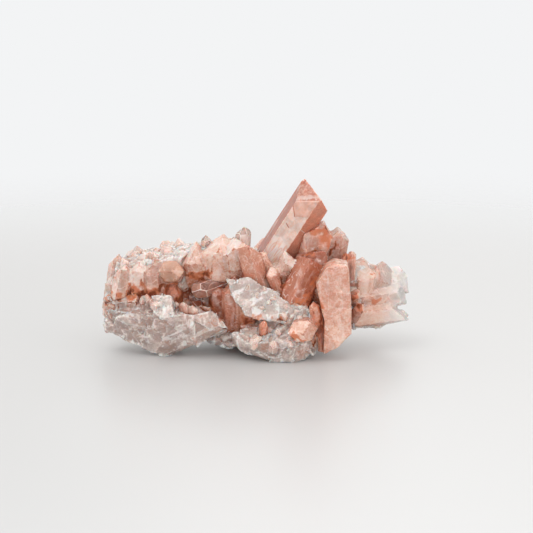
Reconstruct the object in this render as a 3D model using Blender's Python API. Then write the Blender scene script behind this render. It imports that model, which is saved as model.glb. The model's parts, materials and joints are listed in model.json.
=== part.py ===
"""A lithium quartz cluster: pink points and stubby crystals grown together on broken milky quartz.

Everything grew as one piece, so the crystals and the rock below them are fused into one solid.
Places are in millimetres in the growth frame: +X right, +Y away from the front, +Z up.
"""

import math
import random
from collections import namedtuple

import bmesh
import bpy
from mathutils import Matrix, Vector
from mathutils.bvhtree import BVHTree

MM = 0.001

# Driving sizes of the specimen.
STANDING_POINT = Vector((0.0, 2.6, 0.0))  # growth-frame place that becomes the origin
GROUND_SIZE = (0.2, 0.2, 0.02)  # the flat slab that wears the lowest bumps away, in metres

# Quartz geometry: the end faces lean in at 38.2 degrees to the long axis.
END_FACE_LEAN = 38.2
FACE_AZIMUTHS = (-90, -30, 30, 90, 150, 210)
SPARE_LENGTH = 1.3  # the prism is made this much too long before its end is cut
SEED = 11

# foot and tip are on the long axis, width is across the corners, roll turns the prism about its
# axis, and depth is the share of the width that is left front to back. ends lists the end faces
# as (azimuth, lean, lowered): azimuth 0 is right and -90 is the front, lean is measured from the
# long axis, and lowered is in widths. apex moves the meeting place of the faces off the axis.
Crystal = namedtuple("Crystal", "foot tip width roll depth ends apex")
Crystal.__new__.__defaults__ = (0, 1.0, None, (0, 0))

CRYSTALS = {
    "main_point": Crystal(
        (0.65, 10, 16.5), (15.8, -3.8, 42.75), 10.2, 30, 1.0,
        ((-155.3, 34.5, 0), (35, 49.5, 0), (95, 38.2, -0.05)), (-3.8, 2.9),
    ),
    "main_rider": Crystal(
        (1.5, 7, 14), (7.4, -3.5, 24.5), 5.2, 22, 1.0, ((-100, 38, 0), (150, 38, 0.2))
    ),
    "main_foot": Crystal(
        (3.5, 4, 13), (9.0, -4.5, 26.5), 4.6, 8, 1.0, ((-70, 38, 0), (60, 38, 0.1))
    ),
    "tall_tablet": Crystal(
        (21.3, -5, 6.0), (20.3, -8.5, 25.6), 9.6, 28, 0.62,
        ((180, 33, 0.1), (180, 62, 0.0), (0, 80, 0.02), (-90, 50, -0.05), (90, 45, 0.1)),
    ),
    "tablet_back": Crystal(
        (20, -3, 6), (18.3, -6, 25.0), 8.6, 10, 0.7, ((180, 33, 0.0), (20, 60, 0.1))
    ),
    "thick_leaning": Crystal(
        (9.6, -5, 13), (15.8, 1.5, 26.2), 9.6, 22, 1.0, ((30, 50, 0), (-150, 55, 0.0))
    ),
    "thick_end": Crystal(
        (14.5, -2, 24), (8.6, -6.0, 12.2), 8.8, 35, 1.0, ((0, 45, 0), (-140, 40, 0.1))
    ),
    "thick_side": Crystal((12, 1, 14), (18.2, 0, 24.5), 6.5, 5, 1.0, ((30, 50, 0), (-90, 55, 0.1))),
    "upper_wide": Crystal(
        (-16, 4, 15.5), (-15.3, -3.5, 28.3), 8.4, 5, 0.8, ((0, 30, 0.0), (180, 32, 0.05), (-90, 45, 0.1))
    ),
    "upper_mid": Crystal(
        (-10.5, 3, 16), (-9.5, -3, 29.6), 8.8, 12, 0.9, ((-30, 60, 0), (180, 55, 0.1))
    ),
    "upper_streaked": Crystal(
        (-5.5, 3, 16), (-7.0, -4, 29.6), 8.0, 24, 0.9, ((10, 70, 0), (170, 50, 0.2))
    ),
    "upper_tilted": Crystal(
        (0.8, -1, 16), (-2.6, -4.2, 29.6), 7.2, -18, 0.9, ((25, 40, 0.1), (160, 75, 0))
    ),
    "clear_cap": Crystal((-3.6, 1, 25), (-3.0, 0, 34.2), 4.2, 8, 0.9),
    "crest_a": Crystal((-13, 1, 25), (-12.6, 0.5, 31), 3.0, 20),
    "crest_b": Crystal((-8.8, 1, 26), (-7.8, 0, 31), 3.2, 5),
    "crest_c": Crystal((-5.6, 1, 26.5), (-5.6, 0, 31), 2.6, 12),
    "grey_splinter": Crystal((5.5, 0, 16.5), (0.6, -3, 27.5), 3.4, 10),
    "grey_splinter_low": Crystal((6.5, -2, 15), (3.0, -5, 24), 3.6, 20),
    "hooded": Crystal(
        (13.0, 6, 19), (17.2, -4, 34.4), 8.2, 8, 1.0, ((-90, 24, 0.3), (15, 38, 0.0), (150, 38, 0.05))
    ),
    "shoulder_a": Crystal((16, 8, 19), (18.7, 4.5, 33.4), 5.2, 10),
    "shoulder_b": Crystal((19, 6, 19.5), (20.9, 3, 32), 4.2, 0, 1.0, ((0, 60, 0), (180, 45, 0.1))),
    "shoulder_c": Crystal(
        (20.8, 5, 19), (22.7, 2, 30.4), 4.0, 18, 1.0, ((0, 45, 0), (180, 70, 0.0))
    ),
    "rust_pin_a": Crystal((23, 0, 17), (22.9, 0, 26.7), 2.2, 0),
    "rust_pin_b": Crystal((24.6, 0.5, 17), (24.7, 0.5, 27.2), 2.4, 15),
    "front_splinter": Crystal((17.5, -7, 2), (14.2, -10, 16.5), 3.4, 12),
    "left_knob": Crystal(
        (-38.0, 4, 10), (-35.4, 4, 25.2), 5.0, 0, 1.0, ((180, 35, 0.0), (0, 38, 0.1), (-90, 45, 0.1))
    ),
    "left_grey": Crystal((-37.4, 1, 9), (-36.8, 2, 21), 4.4, 14),
    "left_post": Crystal(
        (-36.4, -1, 9), (-33.0, -2.6, 24.2), 5.2, 8, 0.9, ((180, 36, 0.1), (0, 40, 0.1), (-90, 50, 0))
    ),
    "left_tooth": Crystal(
        (-30.5, 0, 12), (-30.2, -3.8, 23.8), 5.2, 0, 0.9, ((-90, 50, 0), (0, 60, 0), (180, 50, 0.1))
    ),
    "left_rose": Crystal(
        (-26, -1, 11), (-26.6, -4.2, 23.4), 6.0, 0, 0.8, ((-90, 50, 0), (0, 70, 0), (180, 60, 0))
    ),
    "left_strip": Crystal(
        (-24, 0, 13), (-24.4, -3.4, 24.2), 4.4, 20, 0.9, ((-90, 40, 0), (0, 60, 0))
    ),
    "left_box": Crystal(
        (-21.5, 5, 19), (-21.5, -8.5, 23.0), 7.0, 0, 0.9, ((-90, 52, 0), (90, 60, 0.05), (0, 60, 0.0))
    ),
    "left_under_box": Crystal((-21.8, 0, 11), (-21.5, -4.5, 20.5), 6.4, 0),
    "rim_a": Crystal((-18, -7, 10.5), (-18.3, -10.0, 16), 3.0, 10),
    "rim_b": Crystal((-15.8, -7, 10), (-15.8, -10.0, 15), 2.8, 25),
    "cavity_clear": Crystal((-6.5, 3, 18.5), (-17.5, -6.5, 16.2), 5.6, 20, 0.8),
    "cavity_a": Crystal((-10, 2, 6), (-9.8, -3, 18), 5.0, 0, 1.0, ((-90, 60, 0), (0, 50, 0))),
    "cavity_b": Crystal(
        (-6.5, 0, 6), (-6.4, -4.5, 18.3), 5.4, 0, 1.0, ((-90, 60, 0), (180, 50, 0))
    ),
    "cavity_c": Crystal((-2, -2, 6), (-2, -6.5, 16.5), 5.4, 6, 1.0, ((-90, 55, 0), (0, 50, 0))),
    "right_top": Crystal(
        (27, 4, 12), (28.6, 3.0, 23.8), 8.4, 10, 1.0, ((0, 52, 0.1), (180, 60, 0), (-90, 40, 0.05))
    ),
    "right_fold": Crystal(
        (26, 6, 12), (35.5, 4, 21.2), 8.4, 20, 1.0, ((0, 40, 0), (-90, 50, 0.05), (90, 40, 0))
    ),
    "right_small_a": Crystal((23.5, 0, 12.5), (26.5, -6.5, 17.5), 3.2, 15),
    "right_small_b": Crystal((24.5, 0, 8), (27.3, -6.0, 14), 3.4, 0),
    "right_lying_low": Crystal(
        (20, 1, 8.5), (38, 3, 10.4), 7.6, 8, 1.0, ((-90, 30, 0.15), (30, 45, 0), (-30, 40, 0.1))
    ),
    "right_lying_mid": Crystal(
        (22, 2, 12.5), (40, 4.5, 14.8), 7.6, 12, 1.0, ((20, 50, 0), (-90, 30, 0.2), (90, 50, 0.1))
    ),
    "right_lying_top": Crystal(
        (24, 6, 15.5), (40.2, 7, 17.8), 8.0, 0, 1.0, ((90, 45, 0), (-90, 40, 0.1), (0, 60, 0))
    ),
    "right_knob": Crystal((34, 4, 8.8), (40.6, 4, 9.0), 2.9, 10),
    "front_oval": Crystal(
        (13, -3, 8.5), (11.5, -16, 8.6), 7.6, 8, 0.8, ((-90, 65, 0), (90, 60, 0.05), (0, 50, 0))
    ),
    "front_window": Crystal((2, -10, 6.5), (2, -13.6, 11.5), 2.6, 0),
    "back_left": Crystal((-24, 8, 14), (-30, 21, 22), 7.5, 10),
    "back_slab": Crystal((-10, 8, 14), (-13, 22, 23), 8.5, 24, 0.8),
    "back_steep": Crystal((3, 8, 14), (2, 17, 29), 7, 0),
    "back_low": Crystal((10, 8, 9), (15, 23, 13), 8, 15),
    "back_right": Crystal((20, 8, 13), (26, 20, 22), 6.5, 8),
    "back_foot": Crystal((-4, 6, 6), (-6, 22, 8), 7.5, 5, 0.9),
}

# Broken lumps of milky quartz, each the hull of its corners. Corners just under zero are worn
# flat by the surface that the piece rests on.
BLOCKS = {
    "white_slab": [
        (-26.5, -10.5, 16.6), (-21.5, -10.5, 16.8), (-20.6, -12.2, 11.9), (-24.8, -13, 10.6),
        (-26.6, -9, 15), (-20.5, -6, 15), (-26, -6, 16), (-24, -6, 9),
    ],
    "tablet_root": [
        (15.4, -9.5, 18), (17.6, -11, 9), (17.0, -10.5, 1.6), (20.6, -10.5, 2.2), (24.2, -9, 5.2),
        (24.6, -9, 12), (24.4, -8.5, 20), (19.5, -11.5, 12), (17, -3, 2.5), (24, -3, 6),
        (16, -3, 18), (24, -3, 18),
    ],
    "under_middle": [
        (-17, -1, 3.6), (-8, -5, 1.9), (2, -7, 0.8), (4, 4, 2), (-14, 6, 4), (-12, 0, 10), (2, 0, 10),
    ],
    "left_lobe": [
        (-23.5, -6, -0.2), (-21.5, -5, -0.2), (-12.5, -8, 4), (-6.5, -9, 7.5), (-11, -9, 12),
        (-20, -12, 12), (-24, -12, 11.5), (-32.5, -9, 12.5), (-38.5, -3, 12), (-40, -1, 7.5),
        (-39, 0, 5), (-30.5, -5, 3), (-36, 12, 14), (-34, 13, 6), (-14, 10, 14), (-20, 6, 2),
    ],
    "left_shelf": [
        (-39.5, 0, 13), (-37, -5, 13.5), (-30, -6, 14), (-24, -7, 15), (-19, -7, 13), (-20, 0, 10),
        (-38, 8, 10), (-22, 4, 17), (-38, 3, 18), (-28, 6, 20),
    ],
    "centre_lobe": [
        (-6.5, -8, 3), (-3, -9.5, 2), (2.5, -11, 0.8), (4, -12, -0.2), (9, -12.3, -0.3),
        (14.5, -10.5, 1.2), (17, -8, 3), (16.5, -8, 9), (12, -8, 11.5), (2.5, -9, 10),
        (-6, -9, 7), (8.5, -15, 5.5), (0, -13.5, 5), (6, -8, -0.3), (12, 8, 3), (-4, 8, 3), (4, 8, 12),
    ],
    "pale_ridge": [
        (-7.5, -6, 20.6), (-2.2, -6.5, 20.8), (1.5, -7.5, 19.3), (5.0, -8, 16.8), (10, -9, 14),
        (14.5, -9.5, 12.5), (14.5, -11, 9.5), (11, -12, 9), (1.5, -12.5, 10.5), (-2.5, -11, 12),
        (-5.5, -9, 14.5), (-6, 2, 18), (12, 0, 12), (0, 2, 10),
    ],
    "plateau": [
        (-36, -1, 22.5), (-27, -2.5, 22.5), (-19, -1.5, 24), (-14, 0, 27.5), (-35, 12, 23),
        (-28, 17, 24), (-17, 17, 25), (-13.5, 8, 27.5), (-38, 1, 13.5), (-38.5, 11, 12),
        (-17, 0, 13), (-15, 14, 11), (-30, 16, 12),
    ],
    "upper_mass": [
        (-18.5, 0, 24), (-13, -1, 27.5), (-7, -1, 28.5), (-0.5, -1, 27), (2, 0, 19), (-11, 0, 20),
        (-17.5, 14, 25), (-1.5, 12, 26), (3, 12, 20), (-15, 8, 10), (3, 8, 10),
    ],
    "core": [
        (-34, 2, 6), (-34, 9, 14), (-28, 12, 5), (-10, 0, 18), (-10, 14, 19), (14, -2, 13),
        (22, 0, 21), (20, 14, 21), (30, 2, 9), (30, 12, 12), (12, 14, 4), (-8, 2, 4),
        (18, -4, 4), (0, 15, 3),
    ],
    "right_lobe": [
        (24.5, 1, 22), (30, 3, 22.5), (36, 7, 20), (38.5, 8, 16.5), (37, 5, 11), (36, 4, 7),
        (31, 2, 5), (25, -2, 5.8), (23, -3, 14), (24, 15, 18), (34, 16, 16), (30, 14, 8),
    ],
    "back_lobe": [
        (-12, 16, 6), (-2, 19, 4), (4, 19, 10), (-10, 18, 15), (8, 14, 2), (0, 15, -0.3),
        (4, 13, -0.3), (-5, 13, -0.2), (-12, 8, 3), (12, 6, 3), (-8, 4, 14), (10, 6, 16),
    ],
}

# Small crystals that crowd a region of the rock: how many, where their rays start, how far that
# start strays, where the rays point, and the smallest and largest width.
Crowd = namedtuple("Crowd", "count start spread aim widths")
CROWDS = {
    "plateau_top": Crowd(30, (-25, 6, 60), (11, 10, 0), (-25, 6, 10), (1.8, 4.2)),
    "plateau_back": Crowd(16, (-26, 60, 24), (11, 0, 8), (-24, 4, 14), (2.2, 5.0)),
    "middle_back": Crowd(22, (2, 60, 22), (16, 0, 10), (2, 4, 14), (2.4, 5.2)),
    "right_back": Crowd(14, (30, 60, 24), (8, 0, 8), (28, 4, 14), (2.2, 4.6)),
    "right_end": Crowd(12, (80, 6, 20), (0, 8, 7), (25, 7, 14), (1.8, 3.6)),
    "left_end": Crowd(12, (-80, 4, 14), (0, 8, 7), (-28, 4, 12), (1.8, 3.6)),
    "front_sugar": Crowd(22, (4, -60, 10), (9, 0, 5), (4, 0, 9), (1.4, 2.8)),
    "ridge_sugar": Crowd(16, (3, -60, 28), (8, 0, 4), (3, 0, 14), (1.4, 2.6)),
    "left_seam": Crowd(12, (-26, -60, 20), (11, 0, 3), (-26, 0, 14), (1.6, 3.0)),
}


def perpendicular_frame(axis):
    """Rotation whose Z is the crystal's axis and whose X points right, or up if it lies along X."""
    along = axis.normalized()
    lies_along_x = abs(along.x) > 0.8
    reference = Vector((0, 0, 1)) if lies_along_x else Vector((1, 0, 0))
    across = (reference - along * reference.dot(along)).normalized()
    return Matrix((across, along.cross(across), along)).transposed().to_4x4()


def cut_away(bm, point, normal):
    """Removes what lies beyond the plane and closes the cut with one flat face."""
    cut = bmesh.ops.bisect_plane(
        bm,
        geom=bm.verts[:] + bm.edges[:] + bm.faces[:],
        plane_co=point,
        plane_no=normal,
        clear_outer=True,
    )
    rim = [g for g in cut["geom_cut"] if isinstance(g, bmesh.types.BMEdge)]
    if rim:
        bmesh.ops.contextual_create(bm, geom=rim)


def quartz_mesh(name, crystal, dice):
    """A six-sided prism whose end is cut by six faces that lean in to a point."""
    foot, tip = Vector(crystal.foot), Vector(crystal.tip)
    length = (tip - foot).length
    bm = bmesh.new()
    bmesh.ops.create_cone(
        bm,
        cap_ends=True,
        segments=6,
        radius1=crystal.width / 2,
        radius2=crystal.width / 2 * dice.uniform(0.94, 1.0),
        depth=length * SPARE_LENGTH,
    )
    bmesh.ops.translate(bm, verts=bm.verts, vec=(0, 0, length * SPARE_LENGTH / 2))
    turn = Matrix.Rotation(math.radians(30 + crystal.roll), 3, "Z")
    bmesh.ops.rotate(bm, verts=bm.verts, matrix=turn)
    bmesh.ops.scale(bm, verts=bm.verts, vec=(1, crystal.depth, 1))
    ends = crystal.ends or [(a, END_FACE_LEAN, dice.uniform(0, 0.35)) for a in FACE_AZIMUTHS]
    for azimuth, lean, lowered in ends:
        turned, tilted = math.radians(azimuth), math.radians(lean)
        normal = Vector((math.cos(turned), math.sin(turned), math.tan(tilted)))
        cut_away(bm, (*crystal.apex, length - lowered * crystal.width), normal)
    place = Matrix.Translation(foot) @ perpendicular_frame(tip - foot)
    bmesh.ops.transform(bm, verts=bm.verts, matrix=place)
    return finished_mesh(name, bm)


def block_mesh(name, corners):
    """A broken lump: the convex hull of a few corners."""
    bm = bmesh.new()
    for corner in corners:
        bm.verts.new(corner)
    hull = bmesh.ops.convex_hull(bm, input=bm.verts)
    inside = [g for g in hull["geom_interior"] if isinstance(g, bmesh.types.BMVert)]
    bmesh.ops.delete(bm, geom=inside, context="VERTS")
    return finished_mesh(name, bm)


def finished_mesh(name, bm):
    """Brings a shape from the growth frame to the row frame, in metres, with faces pointing out."""
    bmesh.ops.recalc_face_normals(bm, faces=bm.faces)
    bmesh.ops.translate(bm, verts=bm.verts, vec=-STANDING_POINT)
    bmesh.ops.scale(bm, verts=bm.verts, vec=(MM, MM, MM))
    mesh = bpy.data.meshes.new(name)
    bm.to_mesh(mesh)
    bm.free()
    return mesh


def crowd_crystals(crowd, surface, dice):
    """Small crystals that stand on the rock where seeded rays meet it, leaning off its face."""
    found = []
    while len(found) < crowd.count:
        stray = Vector([dice.uniform(-s, s) for s in crowd.spread])
        start = Vector(crowd.start) + stray
        toward = (Vector(crowd.aim) + stray - start).normalized()
        place, normal, _, _ = surface.ray_cast(start, toward)
        wander = Vector([dice.uniform(-0.55, 0.55) for _ in range(3)])
        if place is None:
            continue
        width = dice.uniform(*crowd.widths)
        grows = (normal + wander).normalized()
        foot = place - grows * width * 0.9
        tip = place + grows * width * dice.uniform(0.35, 0.75)
        found.append(Crystal(tuple(foot), tuple(tip), width, dice.uniform(0, 60)))
    return found


def rock_surface():
    """The blocks as one searchable surface, in the growth frame."""
    points, faces = [], []
    for corners in BLOCKS.values():
        bm = bmesh.new()
        for corner in corners:
            bm.verts.new(corner)
        bmesh.ops.convex_hull(bm, input=bm.verts)
        bmesh.ops.recalc_face_normals(bm, faces=bm.faces)
        bm.verts.index_update()
        faces += [[len(points) + v.index for v in f.verts] for f in bm.faces]
        points += [v.co.copy() for v in bm.verts]
        bm.free()
    return BVHTree.FromPolygons(points, faces)


def quartz_material():
    """Pale salmon quartz, slightly rough."""
    material = bpy.data.materials.new("pink_quartz")
    material.use_nodes = True
    shader = material.node_tree.nodes["Principled BSDF"]
    shader.inputs["Base Color"].default_value = (0.61, 0.38, 0.31, 1)
    shader.inputs["Roughness"].default_value = 0.3
    shader.inputs["IOR"].default_value = 1.544
    return material


def ground_slab():
    """The slab under the piece: what reaches below its top is worn flat."""
    bm = bmesh.new()
    bmesh.ops.create_cube(bm, size=1.0)
    bmesh.ops.scale(bm, verts=bm.verts, vec=GROUND_SIZE)
    bmesh.ops.translate(bm, verts=bm.verts, vec=(0, 0, -GROUND_SIZE[2] / 2))
    mesh = bpy.data.meshes.new("ground_cutter")
    bm.to_mesh(mesh)
    bm.free()
    return mesh


def helper_object(mesh, collection):
    """A shape that only joins or cuts the piece."""
    helper = bpy.data.objects.new(mesh.name, mesh)
    helper.hide_render = True
    helper.display_type = "WIRE"
    collection.objects.link(helper)
    return helper


def outer_shell(mesh):
    """Lets the quartz grow shut over pockets sealed inside it: only the outermost skin stays."""
    bm = bmesh.new()
    bm.from_mesh(mesh)
    unseen = set(bm.verts)
    shells = []
    while unseen:
        front = [unseen.pop()]
        shell = set(front)
        while front:
            for edge in front.pop().link_edges:
                for vert in edge.verts:
                    if vert in unseen:
                        unseen.remove(vert)
                        shell.add(vert)
                        front.append(vert)
        shells.append(shell)
    outer = max(shells, key=len)
    pockets = [vert for vert in bm.verts if vert not in outer]
    bmesh.ops.delete(bm, geom=pockets, context="VERTS")
    grown = bpy.data.meshes.new("quartz_cluster")
    bm.to_mesh(grown)
    bm.free()
    return grown


def build_cluster():
    """Fuses the rock and every crystal into one solid and wears its lowest bumps flat."""
    for old in list(bpy.data.objects):
        bpy.data.objects.remove(old)
    dice = random.Random(SEED)
    growth = bpy.data.collections.new("growth")
    bpy.context.scene.collection.children.link(growth)
    rock = [block_mesh(name, corners) for name, corners in BLOCKS.items()]
    points = [quartz_mesh(name, crystal, dice) for name, crystal in CRYSTALS.items()]
    surface = rock_surface()
    for name, crowd in CROWDS.items():
        for number, crystal in enumerate(crowd_crystals(crowd, surface, dice)):
            points.append(quartz_mesh(f"{name}_{number:02d}", crystal, dice))
    for mesh in rock[1:] + points:
        helper_object(mesh, growth)
    ground = helper_object(ground_slab(), bpy.context.scene.collection)

    cluster = bpy.data.objects.new("quartz_cluster", rock[0])
    bpy.context.scene.collection.objects.link(cluster)
    fuse = cluster.modifiers.new("fuse_growth", "BOOLEAN")
    fuse.operation = "UNION"
    fuse.operand_type = "COLLECTION"
    fuse.collection = growth
    rest = cluster.modifiers.new("rest_flat", "BOOLEAN")
    rest.operation = "DIFFERENCE"
    rest.object = ground
    fused = cluster.evaluated_get(bpy.context.evaluated_depsgraph_get())
    joined = outer_shell(bpy.data.meshes.new_from_object(fused))
    cluster.modifiers.clear()
    cluster.data = joined
    joined.materials.append(quartz_material())


build_cluster()
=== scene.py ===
# %% [markdown]
# # A cluster of pink lithium quartz
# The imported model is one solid: crystals that grew together on broken milky quartz. It is loaded
# first and kept as a fixed frame. Everything made below is the finish of that solid, so it stays
# inside the same box.

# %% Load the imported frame
import json
import math
import random
from collections import namedtuple

import bmesh
import bpy
import numpy as np
from mathutils import Matrix, Vector, noise
from mathutils.bvhtree import BVHTree
from mathutils.kdtree import KDTree

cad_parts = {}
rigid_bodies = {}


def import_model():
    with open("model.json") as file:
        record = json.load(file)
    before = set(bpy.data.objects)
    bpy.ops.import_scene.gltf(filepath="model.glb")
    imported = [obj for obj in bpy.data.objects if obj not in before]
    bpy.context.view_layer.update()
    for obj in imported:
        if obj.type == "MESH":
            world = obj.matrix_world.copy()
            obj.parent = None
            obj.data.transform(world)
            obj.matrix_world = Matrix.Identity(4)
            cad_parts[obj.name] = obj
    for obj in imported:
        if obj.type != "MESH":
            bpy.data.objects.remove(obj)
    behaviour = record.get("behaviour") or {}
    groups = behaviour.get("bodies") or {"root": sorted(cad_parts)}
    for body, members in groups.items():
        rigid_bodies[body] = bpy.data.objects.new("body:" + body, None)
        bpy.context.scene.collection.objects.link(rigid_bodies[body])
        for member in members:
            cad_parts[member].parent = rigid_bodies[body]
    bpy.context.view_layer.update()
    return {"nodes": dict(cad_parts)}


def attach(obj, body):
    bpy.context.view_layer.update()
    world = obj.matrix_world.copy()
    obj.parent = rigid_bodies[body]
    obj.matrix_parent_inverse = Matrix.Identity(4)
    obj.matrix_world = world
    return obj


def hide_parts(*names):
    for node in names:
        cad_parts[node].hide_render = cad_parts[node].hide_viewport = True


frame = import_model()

# %% [markdown]
# ## Units and the growth frame
# Crystals are easiest to describe by where they stand and where they point. The lists below are
# in millimetres, with X to the right, Y away from the viewer and Z up. One shift and one scale
# bring them to the model's own frame, whose origin is under the middle of the specimen.

# %% Units and the growth frame
MM = 0.001
STANDING_POINT = Vector((0.0, 2.6, 0.0))  # growth-frame place of the model's origin
SEED = 11
dice = random.Random(SEED)
noise.seed_set(SEED)  # without this, noise vectors would start from the time of day


def to_row(place):
    """A growth-frame place in millimetres, in the model's frame in metres."""
    return (Vector(place) - STANDING_POINT) * MM


def as_mesh(bm, name):
    """A finished bmesh as a mesh."""
    mesh = bpy.data.meshes.new(name)
    bm.to_mesh(mesh)
    bm.free()
    return mesh


def stand(name, data):
    """A new object with this data, in the scene."""
    made = bpy.data.objects.new(name, data)
    bpy.context.scene.collection.objects.link(made)
    return made


print("the model's origin in the growth frame, mm:", tuple(round(c, 1) for c in STANDING_POINT))

# %% [markdown]
# ## The crystals, one by one
# A quartz crystal is a six-sided prism that ends in faces leaning 38.2 degrees to its long axis.
# A real point never has six equal end faces: it grew faster on one side, so one or two faces take
# over. Each crystal is written with its foot, its tip, its width across the corners, the turn
# about its axis, its depth as a share of its width and, where the photograph shows them, its own
# end faces as azimuth, lean and how far they are lowered. The last two numbers of the tall point
# shift the spot where its end faces meet. They are the crystals of the solid.

# %% List the crystals
END_FACE_LEAN = 38.2
FACE_AZIMUTHS = (-90, -30, 30, 90, 150, 210)
Crystal = namedtuple("Crystal", "foot tip width roll depth ends apex", defaults=(0, 1, None, (0, 0)))

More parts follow.
